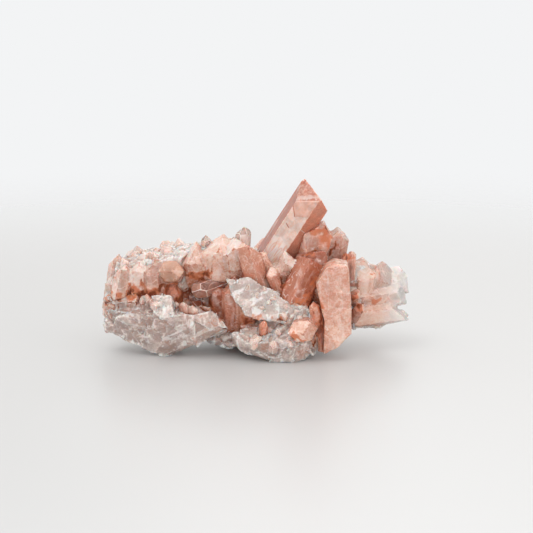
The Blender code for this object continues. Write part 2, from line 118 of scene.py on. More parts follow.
CRYSTALS = {
    "main_point": (
        (0.65, 10, 16.5), (15.8, -3.8, 42.75), 10.2, 30, 1,
        ((-155.3, 34.5, 0), (35, 49.5, 0), (95, 38.2, -0.05)), (-3.8, 2.9),
    ),
    "main_rider": ((1.5, 7, 14), (7.4, -3.5, 24.5), 5.2, 22, 1, ((-100, 38, 0), (150, 38, 0.2))),
    "main_foot": ((3.5, 4, 13), (9, -4.5, 26.5), 4.6, 8, 1, ((-70, 38, 0), (60, 38, 0.1))),
    "tall_tablet": (
        (21.3, -5, 6), (20.3, -8.5, 25.6), 9.6, 28, 0.62,
        ((180, 33, 0.1), (180, 62, 0), (0, 80, 0.02), (-90, 50, -0.05), (90, 45, 0.1)),
    ),
    "tablet_back": ((20, -3, 6), (18.3, -6, 25), 8.6, 10, 0.7, ((180, 33, 0), (20, 60, 0.1))),
    "thick_leaning": ((9.6, -5, 13), (15.8, 1.5, 26.2), 9.6, 22, 1, ((30, 50, 0), (-150, 55, 0))),
    "thick_end": ((14.5, -2, 24), (8.6, -6, 12.2), 8.8, 35, 1, ((0, 45, 0), (-140, 40, 0.1))),
    "thick_side": ((12, 1, 14), (18.2, 0, 24.5), 6.5, 5, 1, ((30, 50, 0), (-90, 55, 0.1))),
    "upper_wide": (
        (-16, 4, 15.5), (-15.3, -3.5, 28.3), 8.4, 5, 0.8, ((0, 30, 0), (180, 32, 0.05), (-90, 45, 0.1)),
    ),
    "upper_mid": ((-10.5, 3, 16), (-9.5, -3, 29.6), 8.8, 12, 0.9, ((-30, 60, 0), (180, 55, 0.1))),
    "upper_streaked": ((-5.5, 3, 16), (-7, -4, 29.6), 8, 24, 0.9, ((10, 70, 0), (170, 50, 0.2))),
    "upper_tilted": ((0.8, -1, 16), (-2.6, -4.2, 29.6), 7.2, -18, 0.9, ((25, 40, 0.1), (160, 75, 0))),
    "clear_cap": ((-3.6, 1, 25), (-3, 0, 34.2), 4.2, 8, 0.9),
    "crest_a": ((-13, 1, 25), (-12.6, 0.5, 31), 3, 20),
    "crest_b": ((-8.8, 1, 26), (-7.8, 0, 31), 3.2, 5),
    "crest_c": ((-5.6, 1, 26.5), (-5.6, 0, 31), 2.6, 12),
    "grey_splinter": ((5.5, 0, 16.5), (0.6, -3, 27.5), 3.4, 10),
    "grey_splinter_low": ((6.5, -2, 15), (3, -5, 24), 3.6, 20),
    "hooded": ((13, 6, 19), (17.2, -4, 34.4), 8.2, 8, 1, ((-90, 24, 0.3), (15, 38, 0), (150, 38, 0.05))),
    "shoulder_a": ((16, 8, 19), (18.7, 4.5, 33.4), 5.2, 10),
    "shoulder_b": ((19, 6, 19.5), (20.9, 3, 32), 4.2, 0, 1, ((0, 60, 0), (180, 45, 0.1))),
    "shoulder_c": ((20.8, 5, 19), (22.7, 2, 30.4), 4, 18, 1, ((0, 45, 0), (180, 70, 0))),
    "rust_pin_a": ((23, 0, 17), (22.9, 0, 26.7), 2.2, 0),
    "rust_pin_b": ((24.6, 0.5, 17), (24.7, 0.5, 27.2), 2.4, 15),
    "front_splinter": ((17.5, -7, 2), (14.2, -10, 16.5), 3.4, 12),
    "left_knob": ((-38, 4, 10), (-35.4, 4, 25.2), 5, 0, 1, ((180, 35, 0), (0, 38, 0.1), (-90, 45, 0.1))),
    "left_grey": ((-37.4, 1, 9), (-36.8, 2, 21), 4.4, 14),
    "left_post": (
        (-36.4, -1, 9), (-33, -2.6, 24.2), 5.2, 8, 0.9, ((180, 36, 0.1), (0, 40, 0.1), (-90, 50, 0)),
    ),
    "left_tooth": (
        (-30.5, 0, 12), (-30.2, -3.8, 23.8), 5.2, 0, 0.9, ((-90, 50, 0), (0, 60, 0), (180, 50, 0.1)),
    ),
    "left_rose": (
        (-26, -1, 11), (-26.6, -4.2, 23.4), 6, 0, 0.8, ((-90, 50, 0), (0, 70, 0), (180, 60, 0)),
    ),
    "left_strip": ((-24, 0, 13), (-24.4, -3.4, 24.2), 4.4, 20, 0.9, ((-90, 40, 0), (0, 60, 0))),
    "left_box": (
        (-21.5, 5, 19), (-21.5, -8.5, 23), 7, 0, 0.9, ((-90, 52, 0), (90, 60, 0.05), (0, 60, 0)),
    ),
    "left_under_box": ((-21.8, 0, 11), (-21.5, -4.5, 20.5), 6.4, 0),
    "rim_a": ((-18, -7, 10.5), (-18.3, -10, 16), 3, 10),
    "rim_b": ((-15.8, -7, 10), (-15.8, -10, 15), 2.8, 25),
    "cavity_clear": ((-6.5, 3, 18.5), (-17.5, -6.5, 16.2), 5.6, 20, 0.8),
    "cavity_a": ((-10, 2, 6), (-9.8, -3, 18), 5, 0, 1, ((-90, 60, 0), (0, 50, 0))),
    "cavity_b": ((-6.5, 0, 6), (-6.4, -4.5, 18.3), 5.4, 0, 1, ((-90, 60, 0), (180, 50, 0))),
    "cavity_c": ((-2, -2, 6), (-2, -6.5, 16.5), 5.4, 6, 1, ((-90, 55, 0), (0, 50, 0))),
    "right_top": (
        (27, 4, 12), (28.6, 3, 23.8), 8.4, 10, 1, ((0, 52, 0.1), (180, 60, 0), (-90, 40, 0.05)),
    ),
    "right_fold": ((26, 6, 12), (35.5, 4, 21.2), 8.4, 20, 1, ((0, 40, 0), (-90, 50, 0.05), (90, 40, 0))),
    "right_small_a": ((23.5, 0, 12.5), (26.5, -6.5, 17.5), 3.2, 15),
    "right_small_b": ((24.5, 0, 8), (27.3, -6, 14), 3.4, 0),
    "right_lying_low": (
        (20, 1, 8.5), (38, 3, 10.4), 7.6, 8, 1, ((-90, 30, 0.15), (30, 45, 0), (-30, 40, 0.1)),
    ),
    "right_lying_mid": (
        (22, 2, 12.5), (40, 4.5, 14.8), 7.6, 12, 1, ((20, 50, 0), (-90, 30, 0.2), (90, 50, 0.1)),
    ),
    "right_lying_top": (
        (24, 6, 15.5), (40.2, 7, 17.8), 8, 0, 1, ((90, 45, 0), (-90, 40, 0.1), (0, 60, 0)),
    ),
    "right_knob": ((34, 4, 8.8), (40.6, 4, 9), 2.9, 10),
    "front_oval": (
        (13, -3, 8.5), (11.5, -16, 8.6), 7.6, 8, 0.8, ((-90, 65, 0), (90, 60, 0.05), (0, 50, 0)),
    ),
    "front_window": ((2, -10, 6.5), (2, -13.6, 11.5), 2.6, 0),
    "back_left": ((-24, 8, 14), (-30, 21, 22), 7.5, 10),
    "back_slab": ((-10, 8, 14), (-13, 22, 23), 8.5, 24, 0.8),
    "back_steep": ((3, 8, 14), (2, 17, 29), 7, 0),
    "back_low": ((10, 8, 9), (15, 23, 13), 8, 15),
    "back_right": ((20, 8, 13), (26, 20, 22), 6.5, 8),
    "back_foot": ((-4, 6, 6), (-6, 22, 8), 7.5, 5, 0.9),
}
CRYSTALS = {name: Crystal(*numbers) for name, numbers in CRYSTALS.items()}
print("crystals with a name:", len(CRYSTALS))

# %% [markdown]
# ## Cutting one crystal
# The prism is made too long, and each end face is one flat cut with `bisect_plane`, filled where
# it cuts. Real edges are never perfectly sharp: on the crystals that stay crisp, a narrow bevel
# gives each edge the thin bright line that worn quartz shows. Numbers on the faces remember which
# crystal a face came from, and whether it is a side, an end face or a worn edge.

# %% Cut one crystal
SPARE_LENGTH = 1.3  # the prism is made this much too long before its end is cut
FACE_TO_FRONT = 30  # turn that brings a side face of the prism to the front, in degrees
SLIMMEST_TOP = 0.94  # a prism may narrow to this share of its width
LOWEST_END = 0.35  # a random end face is lowered by up to this share of the width
LOOKS_UP = 0.2  # faces that look up more than this are end faces
EDGE_WEAR = 0.022  # width of the worn edges, as a share of the crystal's width
WIDEST_WEAR = 0.11  # and never wider than this, in millimetres
SIDE, END, EDGE = 0, 1, 2


def perpendicular_frame(axis):
    """Rotation whose Z is the crystal's axis and whose X points right, or up if it lies along X."""
    along = axis.normalized()
    lies_along_x = abs(along.x) > 0.8
    reference = Vector((0, 0, 1)) if lies_along_x else Vector((1, 0, 0))
    across = (reference - along * reference.dot(along)).normalized()
    return Matrix((across, along.cross(across), along)).transposed().to_4x4()


def growth_place(crystal):
    """Matrix from the crystal's own frame, in millimetres, to the model's frame in metres."""
    foot, tip = Vector(crystal.foot), Vector(crystal.tip)
    shifted = Matrix.Translation(foot - STANDING_POINT) @ perpendicular_frame(tip - foot)
    return Matrix.Scale(MM, 4) @ shifted


def cut_away(bm, point, normal):
    """Removes what lies beyond the plane and closes the cut with one flat face."""
    everything = bm.verts[:] + bm.edges[:] + bm.faces[:]
    cut = bmesh.ops.bisect_plane(bm, geom=everything, plane_co=point, plane_no=normal, clear_outer=True)
    rim = [g for g in cut["geom_cut"] if isinstance(g, bmesh.types.BMEdge)]
    if rim:
        bmesh.ops.contextual_create(bm, geom=rim)


def crystal_mesh(name, crystal, owner, crisp):
    """One crystal in the model's frame, with its number and each face's kind on its faces."""
    length = (Vector(crystal.tip) - Vector(crystal.foot)).length
    bm = bmesh.new()
    bmesh.ops.create_cone(
        bm, cap_ends=True, segments=6, depth=length * SPARE_LENGTH,
        radius1=crystal.width / 2, radius2=crystal.width / 2 * dice.uniform(SLIMMEST_TOP, 1),
    )
    bmesh.ops.translate(bm, verts=bm.verts, vec=(0, 0, length * SPARE_LENGTH / 2))
    turn = Matrix.Rotation(math.radians(FACE_TO_FRONT + crystal.roll), 3, "Z")
    bmesh.ops.rotate(bm, verts=bm.verts, matrix=turn)
    bmesh.ops.scale(bm, verts=bm.verts, vec=(1, crystal.depth, 1))
    ends = crystal.ends or [(a, END_FACE_LEAN, dice.uniform(0, LOWEST_END)) for a in FACE_AZIMUTHS]
    for azimuth, lean, lowered in ends:
        turned, tilted = math.radians(azimuth), math.radians(lean)
        normal = Vector((math.cos(turned), math.sin(turned), math.tan(tilted)))
        cut_away(bm, (*crystal.apex, length - lowered * crystal.width), normal)
    bmesh.ops.recalc_face_normals(bm, faces=bm.faces)
    kind = bm.faces.layers.int.new("kind")
    number = bm.faces.layers.int.new("owner")
    for face in bm.faces:
        face[kind] = END if face.normal.z > LOOKS_UP else SIDE
    if crisp:
        worn_and_highlit = bmesh.ops.bevel(
            bm, geom=bm.edges[:], offset=min(crystal.width * EDGE_WEAR, WIDEST_WEAR), affect="EDGES",
            segments=1, profile=0.5, material=-1, clamp_overlap=True,
        )
        for face in worn_and_highlit["faces"]:
            face[kind] = EDGE
    for face in bm.faces:
        face[number] = owner
    bmesh.ops.transform(bm, verts=bm.verts, matrix=growth_place(crystal))
    return as_mesh(bm, name)


# %% [markdown]
# ## The small crystals
# Between the large points the rock is crowded with small ones. Seeded rays are shot at the rock,
# and where one meets it a little crystal grows off the surface, leaning a bit at random. The
# counts, places and seed are those of the solid, so the same little crystals grow again.

# %% List the crowds of small crystals
Crowd = namedtuple("Crowd", "count start spread aim widths")
CROWDS = {
    "plateau_top": Crowd(30, (-25, 6, 60), (11, 10, 0), (-25, 6, 10), (1.8, 4.2)),
    "plateau_back": Crowd(16, (-26, 60, 24), (11, 0, 8), (-24, 4, 14), (2.2, 5.0)),
    "middle_back": Crowd(22, (2, 60, 22), (16, 0, 10), (2, 4, 14), (2.4, 5.2)),
    "right_back": Crowd(14, (30, 60, 24), (8, 0, 8), (28, 4, 14), (2.2, 4.6)),
    "right_end": Crowd(12, (80, 6, 20), (0, 8, 7), (25, 7, 14), (1.8, 3.6)),
    "left_end": Crowd(12, (-80, 4, 14), (0, 8, 7), (-28, 4, 12), (1.8, 3.6)),
    "front_sugar": Crowd(22, (4, -60, 10), (9, 0, 5), (4, 0, 9), (1.4, 2.8)),
    "ridge_sugar": Crowd(16, (3, -60, 28), (8, 0, 4), (3, 0, 14), (1.4, 2.6)),
    "left_seam": Crowd(12, (-26, -60, 20), (11, 0, 3), (-26, 0, 14), (1.6, 3.0)),
}
print("small crystals:", sum(crowd.count for crowd in CROWDS.values()))

# %% List the lumps of rock
BLOCKS = {
    "white_slab": [
        (-26.5, -10.5, 16.6), (-21.5, -10.5, 16.8), (-20.6, -12.2, 11.9), (-24.8, -13, 10.6),
        (-26.6, -9, 15), (-20.5, -6, 15), (-26, -6, 16), (-24, -6, 9),
    ],
    "tablet_root": [
        (15.4, -9.5, 18), (17.6, -11, 9), (17.0, -10.5, 1.6), (20.6, -10.5, 2.2), (24.2, -9, 5.2),
        (24.6, -9, 12), (24.4, -8.5, 20), (19.5, -11.5, 12), (17, -3, 2.5), (24, -3, 6),
        (16, -3, 18), (24, -3, 18),
    ],
    "under_middle": [
        (-17, -1, 3.6), (-8, -5, 1.9), (2, -7, 0.8), (4, 4, 2), (-14, 6, 4), (-12, 0, 10), (2, 0, 10),
    ],
    "left_lobe": [
        (-23.5, -6, -0.2), (-21.5, -5, -0.2), (-12.5, -8, 4), (-6.5, -9, 7.5), (-11, -9, 12),
        (-20, -12, 12), (-24, -12, 11.5), (-32.5, -9, 12.5), (-38.5, -3, 12), (-40, -1, 7.5),
        (-39, 0, 5), (-30.5, -5, 3), (-36, 12, 14), (-34, 13, 6), (-14, 10, 14), (-20, 6, 2),
    ],
    "left_shelf": [
        (-39.5, 0, 13), (-37, -5, 13.5), (-30, -6, 14), (-24, -7, 15), (-19, -7, 13), (-20, 0, 10),
        (-38, 8, 10), (-22, 4, 17), (-38, 3, 18), (-28, 6, 20),
    ],
    "centre_lobe": [
        (-6.5, -8, 3), (-3, -9.5, 2), (2.5, -11, 0.8), (4, -12, -0.2), (9, -12.3, -0.3),
        (14.5, -10.5, 1.2), (17, -8, 3), (16.5, -8, 9), (12, -8, 11.5), (2.5, -9, 10),
        (-6, -9, 7), (8.5, -15, 5.5), (0, -13.5, 5), (6, -8, -0.3), (12, 8, 3), (-4, 8, 3), (4, 8, 12),
    ],
    "pale_ridge": [
        (-7.5, -6, 20.6), (-2.2, -6.5, 20.8), (1.5, -7.5, 19.3), (5.0, -8, 16.8), (10, -9, 14),
        (14.5, -9.5, 12.5), (14.5, -11, 9.5), (11, -12, 9), (1.5, -12.5, 10.5), (-2.5, -11, 12),
        (-5.5, -9, 14.5), (-6, 2, 18), (12, 0, 12), (0, 2, 10),
    ],
    "plateau": [
        (-36, -1, 22.5), (-27, -2.5, 22.5), (-19, -1.5, 24), (-14, 0, 27.5), (-35, 12, 23),
        (-28, 17, 24), (-17, 17, 25), (-13.5, 8, 27.5), (-38, 1, 13.5), (-38.5, 11, 12),
        (-17, 0, 13), (-15, 14, 11), (-30, 16, 12),
    ],
    "upper_mass": [
        (-18.5, 0, 24), (-13, -1, 27.5), (-7, -1, 28.5), (-0.5, -1, 27), (2, 0, 19), (-11, 0, 20),
        (-17.5, 14, 25), (-1.5, 12, 26), (3, 12, 20), (-15, 8, 10), (3, 8, 10),
    ],
    "core": [
        (-34, 2, 6), (-34, 9, 14), (-28, 12, 5), (-10, 0, 18), (-10, 14, 19), (14, -2, 13),
        (22, 0, 21), (20, 14, 21), (30, 2, 9), (30, 12, 12), (12, 14, 4), (-8, 2, 4),
        (18, -4, 4), (0, 15, 3),
    ],
    "right_lobe": [
        (24.5, 1, 22), (30, 3, 22.5), (36, 7, 20), (38.5, 8, 16.5), (37, 5, 11), (36, 4, 7),
        (31, 2, 5), (25, -2, 5.8), (23, -3, 14), (24, 15, 18), (34, 16, 16), (30, 14, 8),
    ],
    "back_lobe": [
        (-12, 16, 6), (-2, 19, 4), (4, 19, 10), (-10, 18, 15), (8, 14, 2), (0, 15, -0.3),
        (4, 13, -0.3), (-5, 13, -0.2), (-12, 8, 3), (12, 6, 3), (-8, 4, 14), (10, 6, 16),
    ],
}
print("lumps of rock:", len(BLOCKS))

# %% Grow the small crystals on the rock
WANDER = 0.55  # how far a small crystal leans off the rock's face, as a slope
ROOT, REACH = 0.9, (0.35, 0.75)  # its parts inside and outside the rock, in its own widths
WIDEST_ROLL = 60  # a six-sided prism looks the same again after 60 degrees


def hull(corners):
    """A broken lump as a bmesh: the convex hull of its corners."""
    bm = bmesh.new()
    for corner in corners:
        bm.verts.new(corner)
    made = bmesh.ops.convex_hull(bm, input=bm.verts)
    inside = [g for g in made["geom_interior"] if isinstance(g, bmesh.types.BMVert)]
    bmesh.ops.delete(bm, geom=inside, context="VERTS")
    bmesh.ops.recalc_face_normals(bm, faces=bm.faces)
    bm.verts.index_update()
    return bm


def rock_surface():
    """The lumps as one searchable surface, in the growth frame."""
    points, faces = [], []
    for corners in BLOCKS.values():
        bm = hull(corners)
        faces += [[len(points) + v.index for v in f.verts] for f in bm.faces]
        points += [v.co.copy() for v in bm.verts]
        bm.free()
    return BVHTree.FromPolygons(points, faces)


def crowd_crystals(crowd, surface):
    """Small crystals that stand on the rock where seeded rays meet it, leaning off its face."""
    found = []
    while len(found) < crowd.count:
        stray = Vector([dice.uniform(-s, s) for s in crowd.spread])
        start = Vector(crowd.start) + stray
        toward = (Vector(crowd.aim) + stray - start).normalized()
        place, normal, _, _ = surface.ray_cast(start, toward)
        wander = Vector([dice.uniform(-WANDER, WANDER) for _ in range(3)])
        if place is None:
            continue
        width = dice.uniform(*crowd.widths)
        grows = (normal + wander).normalized()
        foot = place - grows * width * ROOT
        tip = place + grows * width * dice.uniform(*REACH)
        found.append(Crystal(tuple(foot), tuple(tip), width, dice.uniform(0, WIDEST_ROLL)))
    return found


CRISP_POINTS = ("main_point", "clear_cap", "crest_a", "crest_b", "crest_c", "cavity_clear")
names = list(CRYSTALS)
everyone = list(CRYSTALS.values())
crystal_meshes = [
    crystal_mesh(name, crystal, n, name in CRISP_POINTS)
    for n, (name, crystal) in enumerate(CRYSTALS.items())
]
surface = rock_surface()
for crowd_name, crowd in CROWDS.items():
    for crystal in crowd_crystals(crowd, surface):
        crystal_meshes.append(crystal_mesh(crowd_name, crystal, len(everyone), True))
        everyone.append(crystal)
print("crystals in all:", len(everyone))

# %% [markdown]
# ## Growing shapes together
# Crystals that grew together share one skin. A Boolean union with the exact solver gives that
# skin and keeps the numbers on the faces. Small pockets that end up sealed inside are dropped,
# because light should meet only the outer skin.

# %% Grow shapes together


def evaluated_mesh(holder):
    """The object's mesh with its modifiers applied; the object is removed."""
    mesh = bpy.data.meshes.new_from_object(holder.evaluated_get(bpy.context.evaluated_depsgraph_get()))
    bpy.data.objects.remove(holder)
    return mesh


def grow_together(name, meshes):
    """The union of closed meshes as one mesh of triangles."""
    growth = bpy.data.collections.new(name + "_growth")
    bpy.context.scene.collection.children.link(growth)
    for mesh in meshes[1:]:
        growth.objects.link(bpy.data.objects.new(mesh.name, mesh))
    base = stand(name, meshes[0])
    fuse = base.modifiers.new("fuse", "BOOLEAN")
    fuse.operation = "UNION"
    fuse.operand_type = "COLLECTION"
    fuse.collection = growth
    grown = evaluated_mesh(base)
    for helper in list(growth.objects):
        bpy.data.objects.remove(helper)
    bpy.data.collections.remove(growth)
    return grown


def loose_shells(bm):
    """The mesh's separate shells, each as a set of vertices, the largest first."""
    unseen = set(bm.verts)
    shells = []
    while unseen:
        front = [unseen.pop()]
        shell = set(front)
        while front:
            for edge in front.pop().link_edges:
                for vert in edge.verts:
                    if vert in unseen:
                        unseen.remove(vert)
                        shell.add(vert)
                        front.append(vert)
        shells.append(shell)
    return sorted(shells, key=len, reverse=True)


# %% [markdown]
# ## The milky rock
# Below the crystals the quartz is milky and broken: blocks with ledges and dull, sugary faces. It
# could be sculpted by hand. Here it starts as a few convex lumps, each the hull of its corners,
# that are fused and remeshed into an even skin. Every patch of that skin is then pulled onto a
# slightly tilted plane of its own, large patches first and small ones after, which is how quartz
# breaks: into small flat and curved facets that catch the light one by one.

# %% Fuse the lumps and remesh them
ROCK_GRAIN = 0.4  # size of the even mesh on the rock
LEFT_OUT = ("tablet_root",)  # the tall tablet takes its place


def remeshed(mesh, size):
    """The same shape on an even mesh of the given size."""
    holder = stand(mesh.name, mesh)
    remesh = holder.modifiers.new("even_mesh", "REMESH")
    remesh.mode = "VOXEL"
    remesh.voxel_size = size
    return evaluated_mesh(holder)


rock_lumps = [
    as_mesh(hull([to_row(corner) for corner in corners]), name)
    for name, corners in BLOCKS.items() if name not in LEFT_OUT
]
rock_mesh = remeshed(grow_together("rock", rock_lumps), ROCK_GRAIN * MM)
print("rock on its even mesh:", len(rock_mesh.vertices), "vertices")

# %% Break the rock into facets
BREAKS = ((4.8, 0.8, 9), (2.0, 0.18, 9))  # patch size, deepest step, tilt in degrees
FACE_SPLIT = 1.5  # how strongly a change of direction parts two patches, in millimetres
SINK_AND_LIFT = (-0.8, 0.2)  # the range of a patch's own step, in deepest steps
LEAST_ALONG = 0.35  # limits the move where a patch's plane stands almost upright on the skin
OUTWARD = 0.3  # the skin moves out by at most this share of the deepest step
rng = np.random.default_rng(4)


def read(items, field, size=1, kind=float):
    """One field of all the items: one number each, or a row of numbers each."""
    values = np.empty(len(items) * size, dtype=kind)
    items.foreach_get(field, values)
    return values.reshape(-1, size) if size > 1 else values


def mesh_arrays(mesh):
    """Places and normals of a mesh's vertices."""
    return read(mesh.vertices, "co", 3), read(mesh.vertex_normals, "vector", 3)


def move_to(mesh, places):
    """Moves the vertices to these places."""
    mesh.vertices.foreach_set("co", places.ravel())
    mesh.update()


def noise_at(places, size, kind=noise.noise):
    """Noise at every place; its features have the given size in millimetres."""
    return np.array([kind(place / (size * MM)) for place in map(Vector, places)])


def patch_owners(places, normals, count):
    """Shares the vertices out among random seeds; places on one flat face keep together."""
    seeds = rng.choice(len(places), count, replace=False)
    spread = places + normals * FACE_SPLIT * MM
    tree = KDTree(count)
    for number, seed in enumerate(seeds):
        tree.insert(spread[seed], number)
    tree.balance()
    return seeds, np.array([tree.find(place)[1] for place in spread])


def break_facets(mesh, patch, step, tilt):
    """Pulls each patch of the skin onto a plane of its own; returns the patch of every vertex."""
    places, normals = mesh_arrays(mesh)
    area = sum(polygon.area for polygon in mesh.polygons)
    count = int(area / (patch * MM) ** 2)
    seeds, owner = patch_owners(places, normals, count)
    facing = normals[seeds] + rng.normal(0, math.tan(math.radians(tilt)), (count, 3))
    facing /= np.linalg.norm(facing, axis=1, keepdims=True)
    lift = rng.uniform(*SINK_AND_LIFT, count) * step * MM
    anchor = places[seeds] + normals[seeds] * lift[:, None]
    along = np.maximum((normals * facing[owner]).sum(axis=1), LEAST_ALONG)
    gap = ((anchor[owner] - places) * facing[owner]).sum(axis=1)
    move = np.clip(gap / along, -step * MM, step * MM * OUTWARD)
    places = places + normals * move[:, None]
    places[:, 2] = np.maximum(places[:, 2], 0)
    move_to(mesh, places)
    return owner


patches = [break_facets(rock_mesh, *one) for one in BREAKS]
print("facets on the rock:", [int(owner.max()) + 1 for owner in patches])

# %% [markdown]
# ## Weathering the fused crystals
# A Boolean skin is too perfect. It is given an even mesh, every vertex is snapped back to the flat
# face it came from, and then the specimen's life is added: shallow steps in the faces, chips
# along the edges, and a little rounding. The numbers of the crystals are read back from the
# nearest original face.

# %% Numbers on the faces
POINT_STEPS = (1.7, 0.12, 2.6)  # patch size, deepest step, tilt in degrees
CHIP_DEPTH, CHIP_SIZE = 0.28, 0.9
RIDGE_GAIN, CHIP_GAIN = 3, 2.5  # how sharply an edge and a chip set in
FACING_STEPS = 6  # normals that round to the same step count as one facet
MIX = (0.731, (0.137, 0.353, 0.571), 91.7, 437.5)  # uneven numbers that scatter the facets' values


def face_values(mesh, name, kind=np.int64):
    """One number of every face."""
    return read(mesh.attributes[name].data, "value", kind=kind)


def write_faces(mesh, name, kind, values):
    """Writes a number on every face."""
    layer = mesh.attributes.get(name) or mesh.attributes.new(name, kind, "FACE")
    layer.data.foreach_set("value", values)


def facet_randoms(mesh):
    """One random value for each flat facet: faces of one crystal with one direction share it."""
    facing = np.round(read(mesh.polygons, "normal", 3) * FACING_STEPS)
    by_owner, by_facing, fold, spread = MIX
    mixed = face_values(mesh, "owner") * by_owner + facing @ np.array(by_facing)
    return (np.sin(mixed * fold) * spread) % 1.0


# %% Weather the fused crystals


def searchable(mesh):
    """A mesh's faces as a surface that can be searched."""
    return BVHTree.FromPolygons(
        [vert.co for vert in mesh.vertices], [list(polygon.vertices) for polygon in mesh.polygons]
    )


def neighbour_means(mesh, places):
    """For every vertex, the mean place of its neighbours, and the mean length of all edges."""
    first, second = read(mesh.edges, "vertices", 2, np.int64).T
    total = np.zeros_like(places)
    count = np.zeros(len(places))
    for one, other in ((first, second), (second, first)):
        np.add.at(total, one, places[other])
        np.add.at(count, one, 1)
    length = np.linalg.norm(places[first] - places[second], axis=1).mean()
    return total / np.maximum(count, 1)[:, None], length


def edge_relief(mesh):
    """How far each vertex stands above its neighbours, in mean edge lengths."""
    places, normals = mesh_arrays(mesh)
    means, length = neighbour_means(mesh, places)
    return ((places - means) * normals).sum(axis=1) / length


def weathered(fused, name, grain, rounding):
    """The fused crystals on an even mesh, rounded, with stepped faces and chipped edges."""
    original = searchable(fused)
    owner, kind = face_values(fused, "owner"), face_values(fused, "kind")
    facet = facet_randoms(fused)
    even = remeshed(fused.copy(), grain * MM)
    even.name = name
    places, _ = mesh_arrays(even)
    move_to(even, np.array([original.find_nearest(place)[0] for place in places]))
    middles = [polygon.center.copy() for polygon in even.polygons]
    nearest = np.array([original.find_nearest(middle)[2] for middle in middles])
    ridge = np.clip(edge_relief(even) * RIDGE_GAIN, 0, 1)
    break_facets(even, *POINT_STEPS)
    places, normals = mesh_arrays(even)
    depth = ridge * np.clip(noise_at(places, CHIP_SIZE) * CHIP_GAIN, 0, 1) * CHIP_DEPTH * MM
    places = places - normals * depth[:, None]
    for _ in range(rounding):
        places = (places + neighbour_means(even, places)[0]) / 2
    move_to(even, places)
    write_faces(even, "owner", "INT", owner[nearest])
    write_faces(even, "kind", "INT", kind[nearest])
    write_faces(even, "flat_random", "FLOAT", facet[nearest])
    return even


# %% [markdown]
# ## The tall tablet
# In front stands one flat crystal, like a tablet on edge: a broad, almost flat face that runs down
# to a paler, striated foot. Its outline is drawn once and extruded back into the cluster, which
# keeps the broad face in one piece. The foot leans back a little from the face.

# %% Model the tall tablet
TABLET_OUTLINE = [  # x, y, z of the front edge, from the left shoulder round to the left side
    (15.2, -11.4, 19.9), (17.7, -11.2, 24.1), (20.0, -11.0, 25.4), (23.3, -11.0, 24.7),
    (24.2, -11.4, 14.2), (24.3, -10.2, 6.9), (20.8, -11.3, 3.5), (17.1, -11.6, 1.7),
    (17.3, -12.0, 10.3),
]
TABLET_DEPTH = 7.5


def tablet_mesh():
    """The tablet as a closed solid: its outline extruded back."""
    bm = bmesh.new()
    front = bm.faces.new([bm.verts.new(to_row(corner)) for corner in TABLET_OUTLINE])
    grown = bmesh.ops.extrude_face_region(bm, geom=[front])
    moved = [g for g in grown["geom"] if isinstance(g, bmesh.types.BMVert)]
    bmesh.ops.translate(bm, verts=moved, vec=(0, TABLET_DEPTH * MM, 0))
    bmesh.ops.triangulate(bm, faces=bm.faces)
    bmesh.ops.recalc_face_normals(bm, faces=bm.faces)
    number = bm.faces.layers.int.new("owner")
    kind = bm.faces.layers.int.new("kind")
    for face in bm.faces:
        face[number] = names.index("tall_tablet")
        face[kind] = SIDE
    return as_mesh(bm, "tall_tablet")


print("corners of the tablet's outline:", len(TABLET_OUTLINE))


# %% [markdown]
# ## Joining the crystals
# The crystals are joined region by region, so that each piece keeps a fine mesh. The tall point,
# the clear points and the small crowd stay crisp: their long edges are only divided, which changes
# no face but gives the colour enough places to vary on.

# %% Join the crystals
REGIONS = {  # each piece, with what the names of its crystals begin with
    "front_points": ("main", "tablet_back", "thick", "grey", "front"),
    "upper_points": ("upper", "cavity"),
    "shoulder_points": ("hooded", "shoulder", "rust_pin"),
    "left_points": ("left", "rim"),
    "right_points": "right",
    "back_points": "back",
}
ROUNDING = {"left_points": 3, "right_points": 3, "shoulder_points": 2}
POINT_GRAIN, BACK_GRAIN = 0.3, 0.45  # size of their even mesh
LONGEST_EDGE = 0.7  # on the pieces that stay crisp
MOST_DIVISIONS = 6


def signed_size(shell):
    """Six times a closed shell's volume, which is negative where its faces point inwards."""
    total = 0.0
    for face in {face for vert in shell for face in vert.link_faces}:
        first = face.verts[0].co
        for second, third in zip(face.verts[1:-1], face.verts[2:]):
            total += first.dot(second.co.cross(third.co))
    return total


def divided(mesh, name):
    """The outer skin as triangles with no long edge."""
    bm = bmesh.new()
    bm.from_mesh(mesh)
    pockets = [vert for shell in loose_shells(bm)[1:] if signed_size(shell) < 0 for vert in shell]
    bmesh.ops.delete(bm, geom=pockets, context="VERTS")
    bmesh.ops.triangulate(bm, faces=bm.faces)
    for _ in range(MOST_DIVISIONS):
        long_edges = [edge for edge in bm.edges if edge.calc_length() > LONGEST_EDGE * MM]
        if not long_edges:
            break
        bmesh.ops.subdivide_edges(bm, edges=long_edges, cuts=1, use_grid_fill=True)
        bmesh.ops.triangulate(bm, faces=[face for face in bm.faces if len(face.verts) > 3])
    fine = as_mesh(bm, name)
    write_faces(fine, "flat_random", "FLOAT", facet_randoms(fine))
    return fine


def gather(starts, crisp=False):
    """The crystals whose names begin with these words, either the crisp ones or the others."""
    return [
        crystal_meshes[n] for n, name in enumerate(names)
        if name.startswith(starts) and (name in CRISP_POINTS) == crisp
    ]


